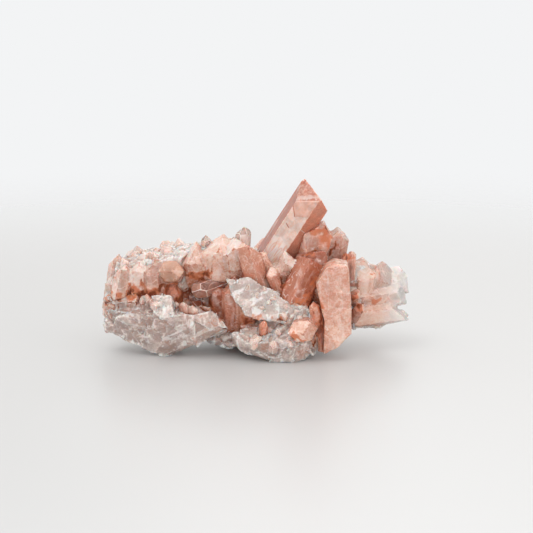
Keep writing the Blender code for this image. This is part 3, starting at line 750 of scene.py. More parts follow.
skins = {
    "main_point": divided(gather("main", crisp=True)[0], "main_point"),
    "clear_points": divided(
        grow_together("clear", gather(("clear", "crest", "cavity"), crisp=True)), "clear_points"
    ),
    "crowd_points": divided(grow_together("crowd", crystal_meshes[len(names):]), "crowd_points"),
    "tall_tablet": weathered(tablet_mesh(), "tall_tablet", POINT_GRAIN, 2),
}
for region, starts in REGIONS.items():
    grown = grow_together(region, gather(starts))
    grain = BACK_GRAIN if region == "back_points" else POINT_GRAIN
    skins[region] = weathered(grown, region, grain, ROUNDING.get(region, 1))
skins["milky_rock"] = rock_mesh

# %% [markdown]
# ## Sugar on the rock
# More than a thousand splinters and tiny points sit on the broken rock, mostly in drifts. Each is a
# short cone with a blunt end, set into the rock at a seeded vertex of its skin and leaning off it
# a little. Noise decides where the drifts are.

# %% Strew the sugar grains
GRAIN_COUNT = 1300
GRAIN_WIDTHS = (0.22, 0.62)  # in millimetres
GRAIN_LENGTHS = (0.9, 2.0)  # in widths
BLUNT_ENDS = (0.1, 0.45)  # in widths
DRIFT_SIZE = 5.0
grain_feet = []


def strewn_grains(mesh):
    """All grains as one mesh; the vertex that each one stands on is kept."""
    places, normals = mesh_arrays(mesh)
    drifts = np.clip(noise_at(places, DRIFT_SIZE) + 0.1, 0, 1)
    weights = drifts * np.clip(normals[:, 2] + 0.5, 0.05, 1.2)  # few on what looks down
    chosen = rng.choice(len(places), GRAIN_COUNT, replace=False, p=weights / weights.sum())
    bm = bmesh.new()
    for vertex in chosen:
        width = rng.uniform(*GRAIN_WIDTHS) * MM
        length = width * rng.uniform(*GRAIN_LENGTHS)
        lean = Vector(normals[vertex] + rng.normal(0, 0.5, 3)).normalized()
        turn = lean.to_track_quat("Z", "Y").to_matrix().to_4x4()
        middle = Vector(places[vertex]) + lean * length * 0.1
        spin = Matrix.Rotation(rng.uniform(0, math.pi), 4, "Z")
        bmesh.ops.create_cone(
            bm, cap_ends=True, segments=5, radius1=width * 0.6, depth=length,
            radius2=width * rng.uniform(*BLUNT_ENDS), matrix=Matrix.Translation(middle) @ turn @ spin,
        )
        grain_feet.append(vertex)
    for vert in bm.verts:
        vert.co.z = max(vert.co.z, 0)
    return as_mesh(bm, "sugar_grains")


skins["sugar_grains"] = strewn_grains(rock_mesh)
for name, mesh in skins.items():
    print(name, "triangles:", sum(len(polygon.vertices) - 2 for polygon in mesh.polygons))

# %% [markdown]
# ## Hollows, rust and edges
# Light bounces about in the hollows of translucent quartz and comes out a deeper salmon, and iron
# has rusted in the seams. To let the finish know where that is, a handful of rays is shot from
# every vertex, and the share that is blocked nearby is kept on the mesh. The finishes paint that
# share as shade, a deeper salmon and brown. Each rust seam runs through a few places of the growth
# frame with a half width, and noise makes it stray from them. One seam paints the brown shade of
# the facet under the upper crystals, where there is no rust.
# At last every crystal gets a tint, from 0 for milky to more than 1 for a deep salmon.

# %% Measure the hollows
HOLLOW_REACH = 7.0  # how far a ray looks, in millimetres
HOLLOW_RAYS = 9
RAY_START = 0.15  # a ray starts this far off the skin, in millimetres
DOME = 0.85  # the rays fan out to this share of a half sphere


def ray_fan(count):
    """Directions spread evenly over a dome around Z."""
    golden = math.pi * (3 - math.sqrt(5))
    fan = []
    for n in range(count):
        up = 1 - (n + 0.5) / count * DOME
        flat = math.sqrt(1 - up * up)
        fan.append(Vector((flat * math.cos(golden * n), flat * math.sin(golden * n), up)))
    return fan


def hollows(mesh, skin):
    """For every vertex, the share of its rays that meet quartz within reach."""
    fan = ray_fan(HOLLOW_RAYS)
    places, normals = mesh_arrays(mesh)
    blocked = np.zeros(len(places))
    for n, (place, normal) in enumerate(zip(places, normals)):
        normal = Vector(normal)
        turn = normal.to_track_quat("Z", "Y").to_matrix()
        start = Vector(place) + normal * RAY_START * MM
        hits = sum(skin.ray_cast(start, turn @ ray, HOLLOW_REACH * MM)[0] is not None for ray in fan)
        blocked[n] = hits / HOLLOW_RAYS
    return blocked


skin = searchable(frame["nodes"]["quartz_cluster"].data)
hollow_of = {name: hollows(mesh, skin) for name, mesh in skins.items() if name != "sugar_grains"}
print("mean hollow:", {name: round(float(h.mean()), 2) for name, h in hollow_of.items()})

# %% Rust in the seams
RUST_AND_SHADE_SEAMS = [  # half width, then the places that the seam runs through
    (1.7, (-39.0, 0.0, 13.2), (-34.5, -2.5, 14.6), (-30.7, -3.6, 15.6), (-26.5, -4.6, 16.2)),
    (1.5, (-30.7, -3.6, 15.2), (-31.4, -3.0, 18.5)),
    (0.9, (-28.3, -4.0, 15.8), (-28.6, -4.4, 20.5)),
    (0.7, (-38.4, -1.5, 14.5), (-36.0, -2.5, 19.5), (-35.0, -2.5, 22.0)),
    (1.3, (-25.5, -4.7, 17.0), (-21.7, -4.4, 17.6), (-19.0, -4.4, 17.4)),
    (1.2, (-20.4, -5.2, 14.6), (-17.8, -1.5, 14.2), (-12.4, -5.5, 12.0)),
    (3.6, (-17.0, -0.2, 14.6), (-13.8, -1.6, 13.0)),
    # painted shade: this seam lays the brown of the shaded facet under the upper crystals, not rust
    (1.3, (-17.5, -2.8, 20.2), (-12.5, -2.3, 21.0)),
    (1.6, (-13.0, -8.0, 2.4), (-8.0, -9.0, 2.0), (-4.0, -10.0, 1.6)),
    (1.8, (-11.2, -5.1, 11.0), (-8.6, -7.0, 9.3), (-3.0, -6.5, 8.8), (1.5, -11.0, 10.8)),
    (0.8, (-0.9, -11.0, 11.4), (6.0, -10.8, 11.0)),
    (0.8, (2.4, -13.1, 8.9), (2.4, -13.1, 10.9)),
    (1.0, (5.2, -3.1, 19.4), (8.0, -4.6, 17.4), (9.9, -8.6, 15.0), (14.2, -8.0, 15.6)),
    (1.2, (14.6, -7.0, 18.8), (14.9, -7.4, 14.2)),
    (0.7, (9.0, -15.3, 9.8), (9.6, -15.3, 7.2), (12.4, -14.8, 5.8), (15.0, -13.5, 6.2)),
    (1.3, (15.6, -9.6, 9.0), (14.6, -10.2, 4.4)),
    (1.0, (16.4, -10.6, 15.5), (16.5, -10.6, 3.0)),
    (1.1, (15.0, -6.5, 20.6), (17.6, -8.5, 24.6), (20.5, -8.5, 25.8)),
    (1.1, (21.8, -0.7, 26.0), (24.6, -0.7, 24.6)),
    (0.7, (19.2, 2.0, 25.0), (20.6, 2.0, 28.6)),
    (1.7, (14.4, -3.0, 32.0), (17.6, -3.0, 31.4), (18.6, -2.0, 28.0)),
    (0.8, (11.0, -2.0, 25.6), (14.5, -2.6, 26.4)),
    (1.2, (25.2, -5.8, 17.0), (25.4, -6.2, 14.0), (27.4, -5.6, 11.0)),
    (0.8, (26.0, -2.5, 20.4), (31.0, 1.0, 20.6)),
    (0.8, (28.0, -1.0, 13.2), (33.4, 0.3, 13.6), (37.0, 1.1, 12.2)),
    (2.0, (-34, 9, 14), (-22, 14, 14), (-6, 16, 12)), (1.8, (6, 16, 13), (20, 12, 12), (32, 10, 11)),
]
SEAM_WANDER = 1.6  # how far a seam strays, in millimetres
STRAY_SIZE = 1.7  # length of its bends, in millimetres
print("rust seams:", len(RUST_AND_SHADE_SEAMS))


def to_segment(places, start, end):
    """Distance from each place to a line segment."""
    along = end - start
    share = np.clip((places - start) @ along / (along @ along), 0, 1)
    return np.linalg.norm(places - start - share[:, None] * along, axis=1)


def rust_and_shade_at(places):
    """How rusty each place is, from 0 to 1, as an array; one seam gives painted shade instead of rust.
    """
    places = places + noise_at(places, STRAY_SIZE, noise.noise_vector) * SEAM_WANDER * MM
    clean = np.ones(len(places))
    for half_width, *stops in RUST_AND_SHADE_SEAMS:
        row_stops = [np.array(to_row(stop)) for stop in stops]
        for start, end in zip(row_stops[:-1], row_stops[1:]):
            away = to_segment(places, start, end) / (half_width * MM)
            clean *= 1 - np.exp(-away ** 2)
    return 1 - clean


# %% Looks of the crystals
TINTS = {
    "main_rider": 0.2, "main_foot": 0.15, "tall_tablet": 0.6, "tablet_back": 1.0,
    "thick_leaning": 1.25, "thick_end": 1.2, "thick_side": 1.0, "upper_wide": 0.3,
    "upper_mid": 0.4, "upper_streaked": 0.15, "upper_tilted": 0.7, "clear_cap": 0.05,
    "crest_a": 0.2, "crest_b": 0.35, "crest_c": 0.3, "grey_splinter": 0.5,
    "grey_splinter_low": 0.6, "hooded": 0.8, "shoulder_a": 0.6, "shoulder_b": 0.3,
    "shoulder_c": 0.35, "rust_pin_a": 1.0, "rust_pin_b": 0.8, "front_splinter": 0.9,
    "left_knob": 0.55, "left_grey": 0.1, "left_post": 0.35, "left_tooth": 0.3, "left_rose": 0.5,
    "left_strip": 0.35, "left_box": 0.85, "left_under_box": 1.0, "rim_a": 0.5, "rim_b": 0.3,
    "cavity_clear": 1.0, "cavity_a": 1.1, "cavity_b": 0.9, "cavity_c": 0.8, "right_top": 0.45,
    "right_fold": 0.3, "right_small_a": 0.5, "right_small_b": 0.8, "right_lying_low": 0.65,
    "right_lying_mid": 0.5, "right_lying_top": 0.3, "right_knob": 0.0, "front_oval": 0.65,
    "front_window": 0.9, "back_left": 0.3, "back_slab": 0.4, "back_steep": 0.6, "back_low": 0.25,
    "back_right": 0.35, "back_foot": 0.2,
}
YELLOWISH = {
    "left_box": 1.0, "right_small_a": 0.8, "right_small_b": 0.3, "right_top": 0.4,
    "right_lying_low": 0.35, "back_low": 0.4,
}
CROWD_TINT = (0.1, 0.5)
CLEAN_TINT = 0.5  # of a crystal that the table leaves out
crowd_size = len(everyone) - len(names)
crowd_tints = rng.uniform(*CROWD_TINT, crowd_size)
tint_of = np.concatenate([[TINTS.get(name, CLEAN_TINT) for name in names], crowd_tints])
honey_of = np.array([YELLOWISH.get(name, 0.0) for name in names] + [0.0] * crowd_size)
print("tints from", tint_of.min(), "to", tint_of.max())

# %% [markdown]
# ## Painting the meshes
# Three attributes carry what the finishes need. *quartz* holds the salmon tint, how near an edge
# is, which the finishes paint pale as part wear and part highlight, the rust, with one seam of
# painted shade, and the hollow. *facet* holds a random value of the facet, a yellowish share, the
# height along the crystal and whether it is an end face. *place* holds the crystal's own
# coordinates in millimetres, for striations. On the rock, *quartz* starts with the tone of the
# large facets, and *facet* holds the tone of the small ones and how deep a crack is. A grain has
# no edge of its own.

# %% Paint the crystals
EDGE_GAIN = 2.5  # how sharply the painted edges of the crystals set in


def corner_layout(mesh):
    """For every face corner, its vertex and its face."""
    totals = read(mesh.polygons, "loop_total", kind=np.int64)
    return read(mesh.loops, "vertex_index", kind=np.int64), np.repeat(np.arange(len(totals)), totals)


def write_corners(mesh, name, kind, field, values):
    """Writes an attribute on the corners."""
    layer = mesh.attributes.new(name, kind, "CORNER")
    layer.data.foreach_set(field, values.astype(np.float32).ravel())


def write_paint(mesh, quartz, facet):
    """Writes the two painted attributes, each from four arrays."""
    for name, channels in (("quartz", quartz), ("facet", facet)):
        write_corners(mesh, name, "FLOAT_COLOR", "color", np.stack(channels, axis=1))


def write_place(mesh, places):
    """Writes the crystal's own coordinates."""
    write_corners(mesh, "place", "FLOAT_VECTOR", "vector", places)


def paint_crystals(name):
    """Paints a piece that is made of crystals."""
    mesh = skins[name]
    places, _ = mesh_arrays(mesh)
    verts, faces = corner_layout(mesh)
    owner, kind = face_values(mesh, "owner")[faces], face_values(mesh, "kind")[faces]
    own = np.zeros((len(verts), 3))
    height = np.zeros(len(verts))
    for n in np.unique(owner):
        crystal = everyone[n]
        inverse = np.array(growth_place(crystal).inverted())
        mine = owner == n
        local = places[verts[mine]] @ inverse[:3, :3].T + inverse[:3, 3]
        own[mine] = local
        height[mine] = local[:, 2] / (Vector(crystal.tip) - Vector(crystal.foot)).length
    facet = face_values(mesh, "flat_random", float)[faces]
    edge = np.where(kind == EDGE, 1.0, np.clip(edge_relief(mesh) * EDGE_GAIN, 0, 1)[verts])
    write_paint(
        mesh, (tint_of[owner], edge, rust_and_shade_at(places)[verts], hollow_of[name][verts]),
        (facet, honey_of[owner], np.clip(height, 0, 1), (kind == END).astype(float)),
    )
    write_place(mesh, own)


for name in skins:
    if name not in ("milky_rock", "sugar_grains"):
        paint_crystals(name)
print("painted:", len(skins) - 2, "pieces of crystals")

# %% Paint the rock
ROCK_EDGE_GAIN = 2.2
GRAIN_TINTS = (0, 0.3)


def paint_rock():
    """Paints the tones of the rock's facets, its ridges and its cracks."""
    mesh = skins["milky_rock"]
    places, _ = mesh_arrays(mesh)
    verts, _ = corner_layout(mesh)
    relief = edge_relief(mesh)[verts] * ROCK_EDGE_GAIN
    large, small = (rng.random(int(owner.max()) + 1)[owner][verts] for owner in patches)
    ridge, crack = np.clip(relief, 0, 1), np.clip(-relief, 0, 1)
    none = np.zeros(len(verts))
    write_paint(
        mesh, (large, ridge, rust_and_shade_at(places)[verts], hollow_of["milky_rock"][verts]),
        (small, crack, none, none),
    )


def paint_grains():
    """Each grain takes the hollow of the place where it stands, and has a tint of its own."""
    mesh = skins["sugar_grains"]
    places, _ = mesh_arrays(mesh)
    verts, _ = corner_layout(mesh)
    grain_of = verts // (len(places) // len(grain_feet))
    hollow = hollow_of["milky_rock"][np.array(grain_feet)[grain_of]]
    rust = rust_and_shade_at(places)[verts]
    tint = rng.uniform(*GRAIN_TINTS, len(grain_feet))[grain_of]
    facet = rng.random(len(grain_feet))[grain_of]
    none = np.zeros(len(verts))
    write_paint(mesh, (tint, none, rust, hollow), (facet, none, none, none))
    write_place(mesh, places[verts] / MM)


paint_rock()
paint_grains()
print("painted: the rock and", len(grain_feet), "grains")

# %% [markdown]
# ## A small language for finishes
# A finish is a graph of shader nodes. Writing it as Python expressions keeps it readable: a Wire
# is one output socket, and arithmetic on wires adds Math nodes. `layers` lays colours over each
# other, each with the share that it covers. Any other node comes from `node`, which takes its
# type, its settings and its inputs. All numbers without a unit are shares.

# %% A small language for finishes


class Wire:
    """One output socket that can be used in arithmetic."""

    def __init__(self, finish, socket):
        self.finish = finish
        self.socket = socket

    def math(self, operation, first, second):
        """Adds one Math node."""
        return self.finish.node("ShaderNodeMath", {"operation": operation}, {0: first, 1: second})

    def __add__(self, other):
        return self.math("ADD", self, other)

    def __radd__(self, other):
        return self.math("ADD", other, self)

    def __sub__(self, other):
        return self.math("SUBTRACT", self, other)

    def __rsub__(self, other):
        return self.math("SUBTRACT", other, self)

    def __mul__(self, other):
        return self.math("MULTIPLY", self, other)

    def __rmul__(self, other):
        return self.math("MULTIPLY", other, self)

    def __abs__(self):
        return self.finish.node("ShaderNodeMath", {"operation": "ABSOLUTE"}, {0: self})

    def above(self, other):
        """The larger of two values."""
        return self.math("MAXIMUM", self, other)


class Finish:
    """A material whose nodes are added by calls."""

    def __init__(self, name):
        self.material = bpy.data.materials.new(name)
        self.material.use_nodes = True
        self.tree = self.material.node_tree
        self.tree.nodes.clear()

    def node(self, kind, settings, inputs, output=0):
        """Adds a node: its settings first, then the values or links of its sockets."""
        made = self.tree.nodes.new(kind)
        for key, value in settings.items():
            setattr(made, key, value)
        for key, value in inputs.items():
            if isinstance(value, Wire):
                self.tree.links.new(value.socket, made.inputs[key])
            else:
                made.inputs[key].default_value = value
        return Wire(self, made.outputs[output])

    def outputs(self, made, *keys):
        """More outputs of the node that a wire comes from."""
        return [Wire(self, made.socket.node.outputs[key]) for key in keys]

    def blend(self, factor, first, second):
        """Mixes two colours."""
        return self.node("ShaderNodeMix", {"data_type": "RGBA"}, {0: factor, 6: first, 7: second}, 2)

    def layers(self, colour, *coats):
        """Lays coats over a colour, each given as its share and its own colour."""
        for share, coat in coats:
            colour = self.blend(share, colour, coat)
        return colour

    def step(self, value, low, high, start=0.0, end=1.0):
        """A smooth step from start to end while the value goes from low to high."""
        settings = {"interpolation_type": "SMOOTHSTEP"}
        inputs = {"Value": value, 1: low, 2: high, 3: start, 4: end}
        return self.node("ShaderNodeMapRange", settings, inputs)

    def near(self, value, inner, outer):
        """1 where the value is close to 0, and 0 from the outer distance on."""
        return self.step(abs(value), inner, outer, 1.0, 0.0)

    def channels(self, name):
        """The four numbers of a painted attribute."""
        colour = self.node("ShaderNodeAttribute", {"attribute_name": name}, {}, "Color")
        parts = self.node("ShaderNodeSeparateColor", {}, {"Color": colour})
        return self.outputs(parts, 0, 1, 2) + self.outputs(colour, "Alpha")

    def place(self):
        """Object coordinates, in metres."""
        return self.node("ShaderNodeTexCoord", {}, {}, "Object")

    def own_place(self):
        """The crystal's own coordinates, in millimetres."""
        return self.node("ShaderNodeAttribute", {"attribute_name": "place"}, {}, "Vector")

    def noise(self, vector, size, detail=2.0, roughness=0.5, twist=0.0):
        """Noise from 0 to 1 whose features have the given size, in the vector's units."""
        inputs = {
            "Vector": vector, "Scale": 1 / size, "Detail": detail,
            "Roughness": roughness, "Distortion": twist,
        }
        return self.node("ShaderNodeTexNoise", {}, inputs, 0)

    def split(self, vector):
        """The three numbers of a vector."""
        return self.outputs(self.node("ShaderNodeSeparateXYZ", {}, {0: vector}), 0, 1, 2)

    def vectors(self, operation, first, second=(0.0, 0.0, 0.0), output="Vector"):
        """Arithmetic with whole vectors."""
        return self.node("ShaderNodeVectorMath", {"operation": operation}, {0: first, 1: second}, output)

    def stretched(self, vector, scale):
        """The vector scaled along its axes."""
        return self.vectors("MULTIPLY", vector, scale)

    def drawn_out(self, vector, turn, length):
        """The vector with its pattern drawn out upwards, then tilted to the side."""
        settings = {"vector_type": "TEXTURE"}
        inputs = {"Vector": vector, "Rotation": (0.0, turn, 0.0), "Scale": (1.0, 1.0, length)}
        return self.node("ShaderNodeMapping", settings, inputs)

    def lines(self, vector, size, thickness):
        """Thin wandering lines, as the healed cracks in quartz: 1 on a line and 0 beside it."""
        return self.near(self.noise(vector, size, 1.0, 0.5, 0.8) - 0.5, 0.0, thickness)

    def chips(self, vector, size):
        """A height that gives every small cell its own tilt, as broken quartz has."""
        inputs = {"Vector": vector, "Scale": 1 / size}
        cells = self.node("ShaderNodeTexVoronoi", {}, inputs, "Position")
        middle, tilt = self.outputs(cells, "Position", "Color")
        away = self.vectors("SUBTRACT", vector, middle)
        lean = self.vectors("SUBTRACT", tilt, (0.5, 0.5, 0.5))
        return self.vectors("DOT_PRODUCT", away, lean, "Value")

    def relief(self, *bumps):
        """A normal from bumps, each given as its height, strength and distance in metres."""
        before = {}
        for height, strength, distance in bumps:
            inputs = {"Height": height, "Strength": strength, "Distance": distance, **before}
            before = {"Normal": self.node("ShaderNodeBump", {}, inputs)}
        return before["Normal"]

    def absorbing(self, density):
        """What tints the light that passes through; the density is per metre."""
        inputs = {"Color": paint(250, 212, 198), "Density": density}
        return self.node("ShaderNodeVolumeAbsorption", {}, inputs)

    def shader(self, inputs):
        """A Principled shader."""
        return self.node("ShaderNodeBsdfPrincipled", {"subsurface_method": "RANDOM_WALK"}, inputs)

    def quartz(self, share, colour, normal, roughness, milky, clear):
        """Milky quartz with a share of clear quartz in it.

        The milky part has the weight and the depth in metres of its inner light, and the clear
        part has the share of white in its colour and its own roughness.
        """
        common = {"IOR": QUARTZ_IOR, "Normal": normal}
        body = self.shader({
            "Base Color": colour, "Roughness": roughness, "Subsurface Weight": milky[0],
            "Subsurface Radius": SKIN_DEPTH, "Subsurface Scale": milky[1], **common,
        })
        glass = self.shader({
            "Base Color": self.blend(clear[0], colour, CLEAR_WHITE), "Roughness": clear[1],
            "Transmission Weight": 1.0, **common,
        })
        return self.node("ShaderNodeMixShader", {}, {0: share, 1: body, 2: glass})

    def surface(self, shader, inside=None):
        """Ends the finish with its surface, and with what light meets inside."""
        out = self.tree.nodes.new("ShaderNodeOutputMaterial")
        self.tree.links.new(shader.socket, out.inputs["Surface"])
        if inside:
            self.tree.links.new(inside.socket, out.inputs["Volume"])
        return self.material


# %% Colours as they look on a screen


def paint(red, green, blue):
    """A colour given as it looks on a screen, from 0 to 255, as linear light."""
    def linear(c):
        c /= 255
        return c / 12.92 if c <= 0.04045 else ((c + 0.055) / 1.055) ** 2.4
    return (linear(red), linear(green), linear(blue), 1.0)


# %% Colours of the specimen
CLEAR_WHITE = paint(244, 236, 231)
MILK = paint(243, 227, 220)
PALE_PINK = paint(240, 203, 185)
SALMON = paint(226, 160, 134)
DEEP_SALMON = paint(196, 113, 86)
HONEY = paint(216, 166, 132)
# A deep brown: the deepest own tint of some crystals, and painted shade in the hollows and on the tall
# point's left face.
BROWN_TINT_AND_SHADE = paint(162, 86, 56)
FROST = paint(241, 238, 235)
RUST = paint(210, 124, 80)
DARK_RUST = paint(140, 72, 42)
ROCK_GREY = paint(198, 175, 167)
ROCK_MILK = paint(227, 209, 202)
SKIN_DEPTH = (1.0, 0.55, 0.42)  # how far red, green and blue light travel, as shares
QUARTZ_IOR = 1.544
INNER_TINT = 120.0  # how strongly a metre of pink quartz tints what passes

# %% [markdown]
# ## The finish of the crystals
# Pink quartz is clear or cloudy with a thin salmon skin. Light goes in, scatters on milky veils
# and comes out soft, so the body is a shader with subsurface scattering. A second, clear shader
# lets light pass where the crystal is clean, and what passes is tinted on its way by absorption.
# Veils, healed cracks, striations across the sides, rust, and a thin darker line beside the edges
# are laid over it, from the painted attributes and from noise. The hollows are painted a deeper
# salmon and, the deepest, brown, as shade. The edges are painted pale, part wear and part
# highlight. Toward the right end of the specimen the colour is painted nearly white, as light.

# %% Finish of the crystals
PAINTED_LIGHT_RIGHT_END = (0.030, 0.038)  # the painted light sets in between these places to the right, in metres


def crystal_finish(name, clear_low, clear_high, pallor=0.0, pale=CLEAR_WHITE):
    """Salmon quartz; the clear share varies between two values, and pallor makes it paler."""
    f = Finish(name)
    tint, edge, rust, hollow = f.channels("quartz")
    facet, honey, height, _ = f.channels("facet")
    place, own = f.place(), f.own_place()
    clouds = f.noise(place, 3.0 * MM, 2.0, 0.5, 0.6)
    mist = f.noise(place, 1.0 * MM, 2.0, 0.55, 0.4)
    grain = f.noise(place, 0.45 * MM, 3.0, 0.6)
    veils = f.noise(f.stretched(own, (1.0, 1.0, 0.35)), 1.8, 2.0, 0.5, 0.8)
    cracks = f.lines(f.stretched(own, (1.0, 1.0, 0.6)), 3.0, 0.02)
    ripples = f.noise(f.stretched(own, (0.25, 0.25, 3.2)), 1.0, 2.0, 0.6)

    tone = tint * 0.85 + (clouds - 0.5) * 0.7 + (mist - 0.5) * 0.5 + (facet - 0.5) * 0.35
    # hollow * 0.35 is painted shade: a deeper salmon in the hollows.
    tone = tone + (grain - 0.5) * 1.3 + hollow * 0.35 - height * 0.12
    # stain carries the rust seams, one of which is painted shade
    stain = rust * 1.2 + (clouds - 0.5) + (mist - 0.5) * 0.8 + hollow * 0.25
    beside = f.near(edge - 0.3, 0.05, 0.2) * f.step(mist, 0.35, 0.6)
    # pale edges: part wear, part painted highlight
    worn_and_highlit = f.step(edge, 0.35, 0.8) * f.step(mist, 0.3, 0.6, 0.3, 1.0)
    # painted light: the colour turns nearly white toward the right end
    right_end = f.step(f.split(place)[0] + (clouds - 0.5) * 0.006, *PAINTED_LIGHT_RIGHT_END)
    veins = f.lines(place, 2.4 * MM, 0.022) * f.step(hollow + (mist - 0.5), 0.3, 0.7)
    colour = f.layers(
        MILK,
        (f.step(tone, -0.1, 0.4), PALE_PINK),
        (f.step(tone, 0.25, 0.85), SALMON),
        (f.step(tone, 0.85, 1.45), DEEP_SALMON),
        # Brown where the crystal's own tint is deepest. The hollow share of this coat, and all of the
        # next coat, are painted shade: brown in the deepest hollows.
        (f.step(tint + hollow * 0.3, 1.0, 1.35) * 0.75, BROWN_TINT_AND_SHADE),
        (f.step(hollow + (mist - 0.5) * 0.6, 0.6, 0.95) * 0.6, BROWN_TINT_AND_SHADE),
        (honey * 0.6, HONEY),
        (pallor, pale),
        (f.step(veils, 0.48, 0.75) * 0.5, MILK),
        (cracks * f.step(mist, 0.42, 0.6) * 0.5, CLEAR_WHITE),
        (f.step(stain, 0.5, 1.05) * 0.9, RUST),
        (f.step(stain * (0.4 + hollow), 0.8, 1.3), DARK_RUST),
        (beside * 0.45, DEEP_SALMON),
        (worn_and_highlit * (1 - 0.7 * rust), CLEAR_WHITE),
        (right_end * 0.9, FROST),
        (veins * (1 - honey * 0.5) * 0.55, RUST),
    )
    normal = f.relief(
        (ripples, 0.12, 0.10 * MM), (grain, 0.15, 0.10 * MM), (f.chips(place, 1.5 * MM), 0.35, 0.3)
    )
    roughness = 0.12 + mist * 0.2 + edge * 0.15 + rust * 0.2
    clean = clouds * 0.6 + facet * 0.4 - veils * 0.2 - cracks * 0.2
    share = f.step(clean, 0.15, 0.65, clear_low, clear_high) * (1 - 0.7 * rust) * (1 - 0.6 * worn_and_highlit)
    mixed = f.quartz(share, colour, normal, roughness, (0.85, 1.5 * MM), (0.6, 0.08))
    return f.surface(mixed, f.absorbing(INNER_TINT))


pink_quartz = crystal_finish("pink_quartz", 0.05, 0.3)
pale_quartz = crystal_finish("pale_quartz", 0.15, 0.5, 0.12)
crowd_quartz = crystal_finish("crowd_quartz", 0.05, 0.35, 0.5, ROCK_MILK)
sugar_quartz = crystal_finish("sugar_quartz", 0.1, 0.4, 0.6, FROST)
clear_quartz = crystal_finish("clear_quartz", 0.4, 0.8, 0.2)
print("nodes in the finish of the crystals:", len(pink_quartz.node_tree.nodes))

# %% [markdown]
# ## The finish of the broken rock
# Broken milky quartz looks white because of countless tiny cracks. Each facet has its own tone,
# ridges are whitest, part chipping and part painted highlight, and healed cracks are white too.
# The rock is painted lighter toward the top and greyer low down and in the hollows, as light and
# shade, and pink and rust creep in from the hollows. Pale streaks hang down or slope through it,
# and on the plateau they thicken to frost. Small tilted cells in the bump make it glint like sugar.

# %% Finish of the broken rock
SNOW_LINE = (0.019, 0.026)  # the plateau's frost sets in between these heights, in metres
SNOW_SIDE = (-0.008, -0.014)  # and between these places toward the left


def rock_finish():
    """Broken milky quartz."""
    f = Finish("milky_quartz")
    large, ridge, rust, hollow = f.channels("quartz")
    small, crack, _, _ = f.channels("facet")
    place = f.place()
    right, _, high = f.split(place)
    clouds = f.noise(place, 4.5 * MM, 2.0, 0.5, 0.8)
    mist = f.noise(place, 1.8 * MM, 2.0, 0.5, 0.5)
    sugar = f.noise(place, 0.45 * MM, 3.0, 0.65)
    hanging = f.noise(f.drawn_out(place, 0.15, 5.0), 1.5 * MM, 1.5, 0.5, 0.2)
    sloping = f.noise(f.drawn_out(place, 1.15, 5.0), 1.7 * MM, 1.5, 0.5, 0.2)
    parted = f.step(clouds, 0.42, 0.58)
    streaks = f.step(hanging * (1 - parted) + sloping * parted + (sugar - 0.5) * 0.15, 0.54, 0.64)
    cracks = f.lines(f.stretched(place, (1.0, 1.0, 0.4)), 2.6 * MM, 0.03)

    tone = clouds * 0.5 + mist * 0.5 + (large - 0.5) * 0.5 + (small - 0.5) * 0.1
    # painted light and shade: high * 16.0 makes the rock lighter toward the top, and hollow * 0.4 greyer
    # in the hollows.
    tone = tone + high * 16.0 - hollow * 0.4 + (sugar - 0.5) * 1.4
    blush = hollow * 0.7 + (clouds - 0.5) * 0.8 + high * 16.0 + (right + 0.01) * 6.0 - 0.25
    # stain carries the rust seams, one of which is painted shade
    stain = rust * 1.2 + (clouds - 0.5) + (mist - 0.5) * 0.8 + crack * 0.2
    veins = f.lines(f.stretched(place, (0.8, 1.0, 1.2)), 3.0 * MM, 0.02) * f.step(blush, 0.1, 0.6)
    snow = f.step(high + (mist - 0.5) * 0.01, *SNOW_LINE) * f.step(right, *SNOW_SIDE)
    # pale ridges: part chipping, part painted highlight; healed cracks are white too.
    pale = (ridge * f.step(mist, 0.3, 0.55)).above(cracks * f.step(mist, 0.42, 0.58) * 0.8)
    colour = f.layers(
        ROCK_GREY,
        (f.step(tone, 0.3, 1.0), ROCK_MILK),
        (streaks * 0.75, FROST),
        (f.step(blush, 0.3, 0.9) * 0.7, PALE_PINK),
        (f.step(blush, 0.75, 1.3) * 0.8, SALMON),
        (f.step(stain, 0.55, 1.1) * 0.9, RUST),
        (f.step(stain * (0.3 + hollow), 0.75, 1.3), DARK_RUST),
        (veins * 0.5, RUST),
        (snow * (0.3 + streaks * 0.6) * (1 - rust), FROST),
        (pale * (1 - 0.6 * rust), CLEAR_WHITE),
    )
    broken = f.step(clouds, 0.42, 0.62, 0.25, 1.0)
    chips = f.chips(f.stretched(place, (1.0, 1.0, 0.7)), 3.0 * MM) * broken
    normal = f.relief((sugar, 0.1, 0.06 * MM), (streaks, 0.25, 0.3 * MM), (chips, 0.5, 0.4))
    roughness = 0.06 + sugar * 0.2 + small * 0.08
    share = f.step(clouds - mist * 0.3, 0.15, 0.55, 0.1, 0.45) * (1 - ridge) * (1 - 0.7 * rust)
    share = share * (1 - 0.6 * streaks)
    return f.surface(f.quartz(share, colour, normal, roughness, (0.8, 2.4 * MM), (0.4, 0.12)))


milky_quartz = rock_finish()
print("nodes in the finish of the rock:", len(milky_quartz.node_tree.nodes))

# %% [markdown]
# ## The finish of the tall point
# The tall point shows the most, so its marks are placed one by one. In its own frame a mark has a
# place across the face and a height up the crystal. The front face is pale and veiled, white with
# healed cracks near its foot, with a stepped panel below the tip. The faces beside it are a deep
# salmon, partly painted light: the saturated colour of light passing through the thin crystal.
# The left one is painted browner and less pink, as shade, the edges are painted pale, part wear
# and part highlight, and the end face is etched with pits.

# %% Finish of the tall point
PANEL_FOOT, DASH_HEIGHT, CRACK_HEIGHT, RIM_HEIGHT = 25.5, 22.1, 22.3, 32.3  # up the point, in mm
PALE_FOOT = (15.0, 20.0)  # heights between which the white foot fades out


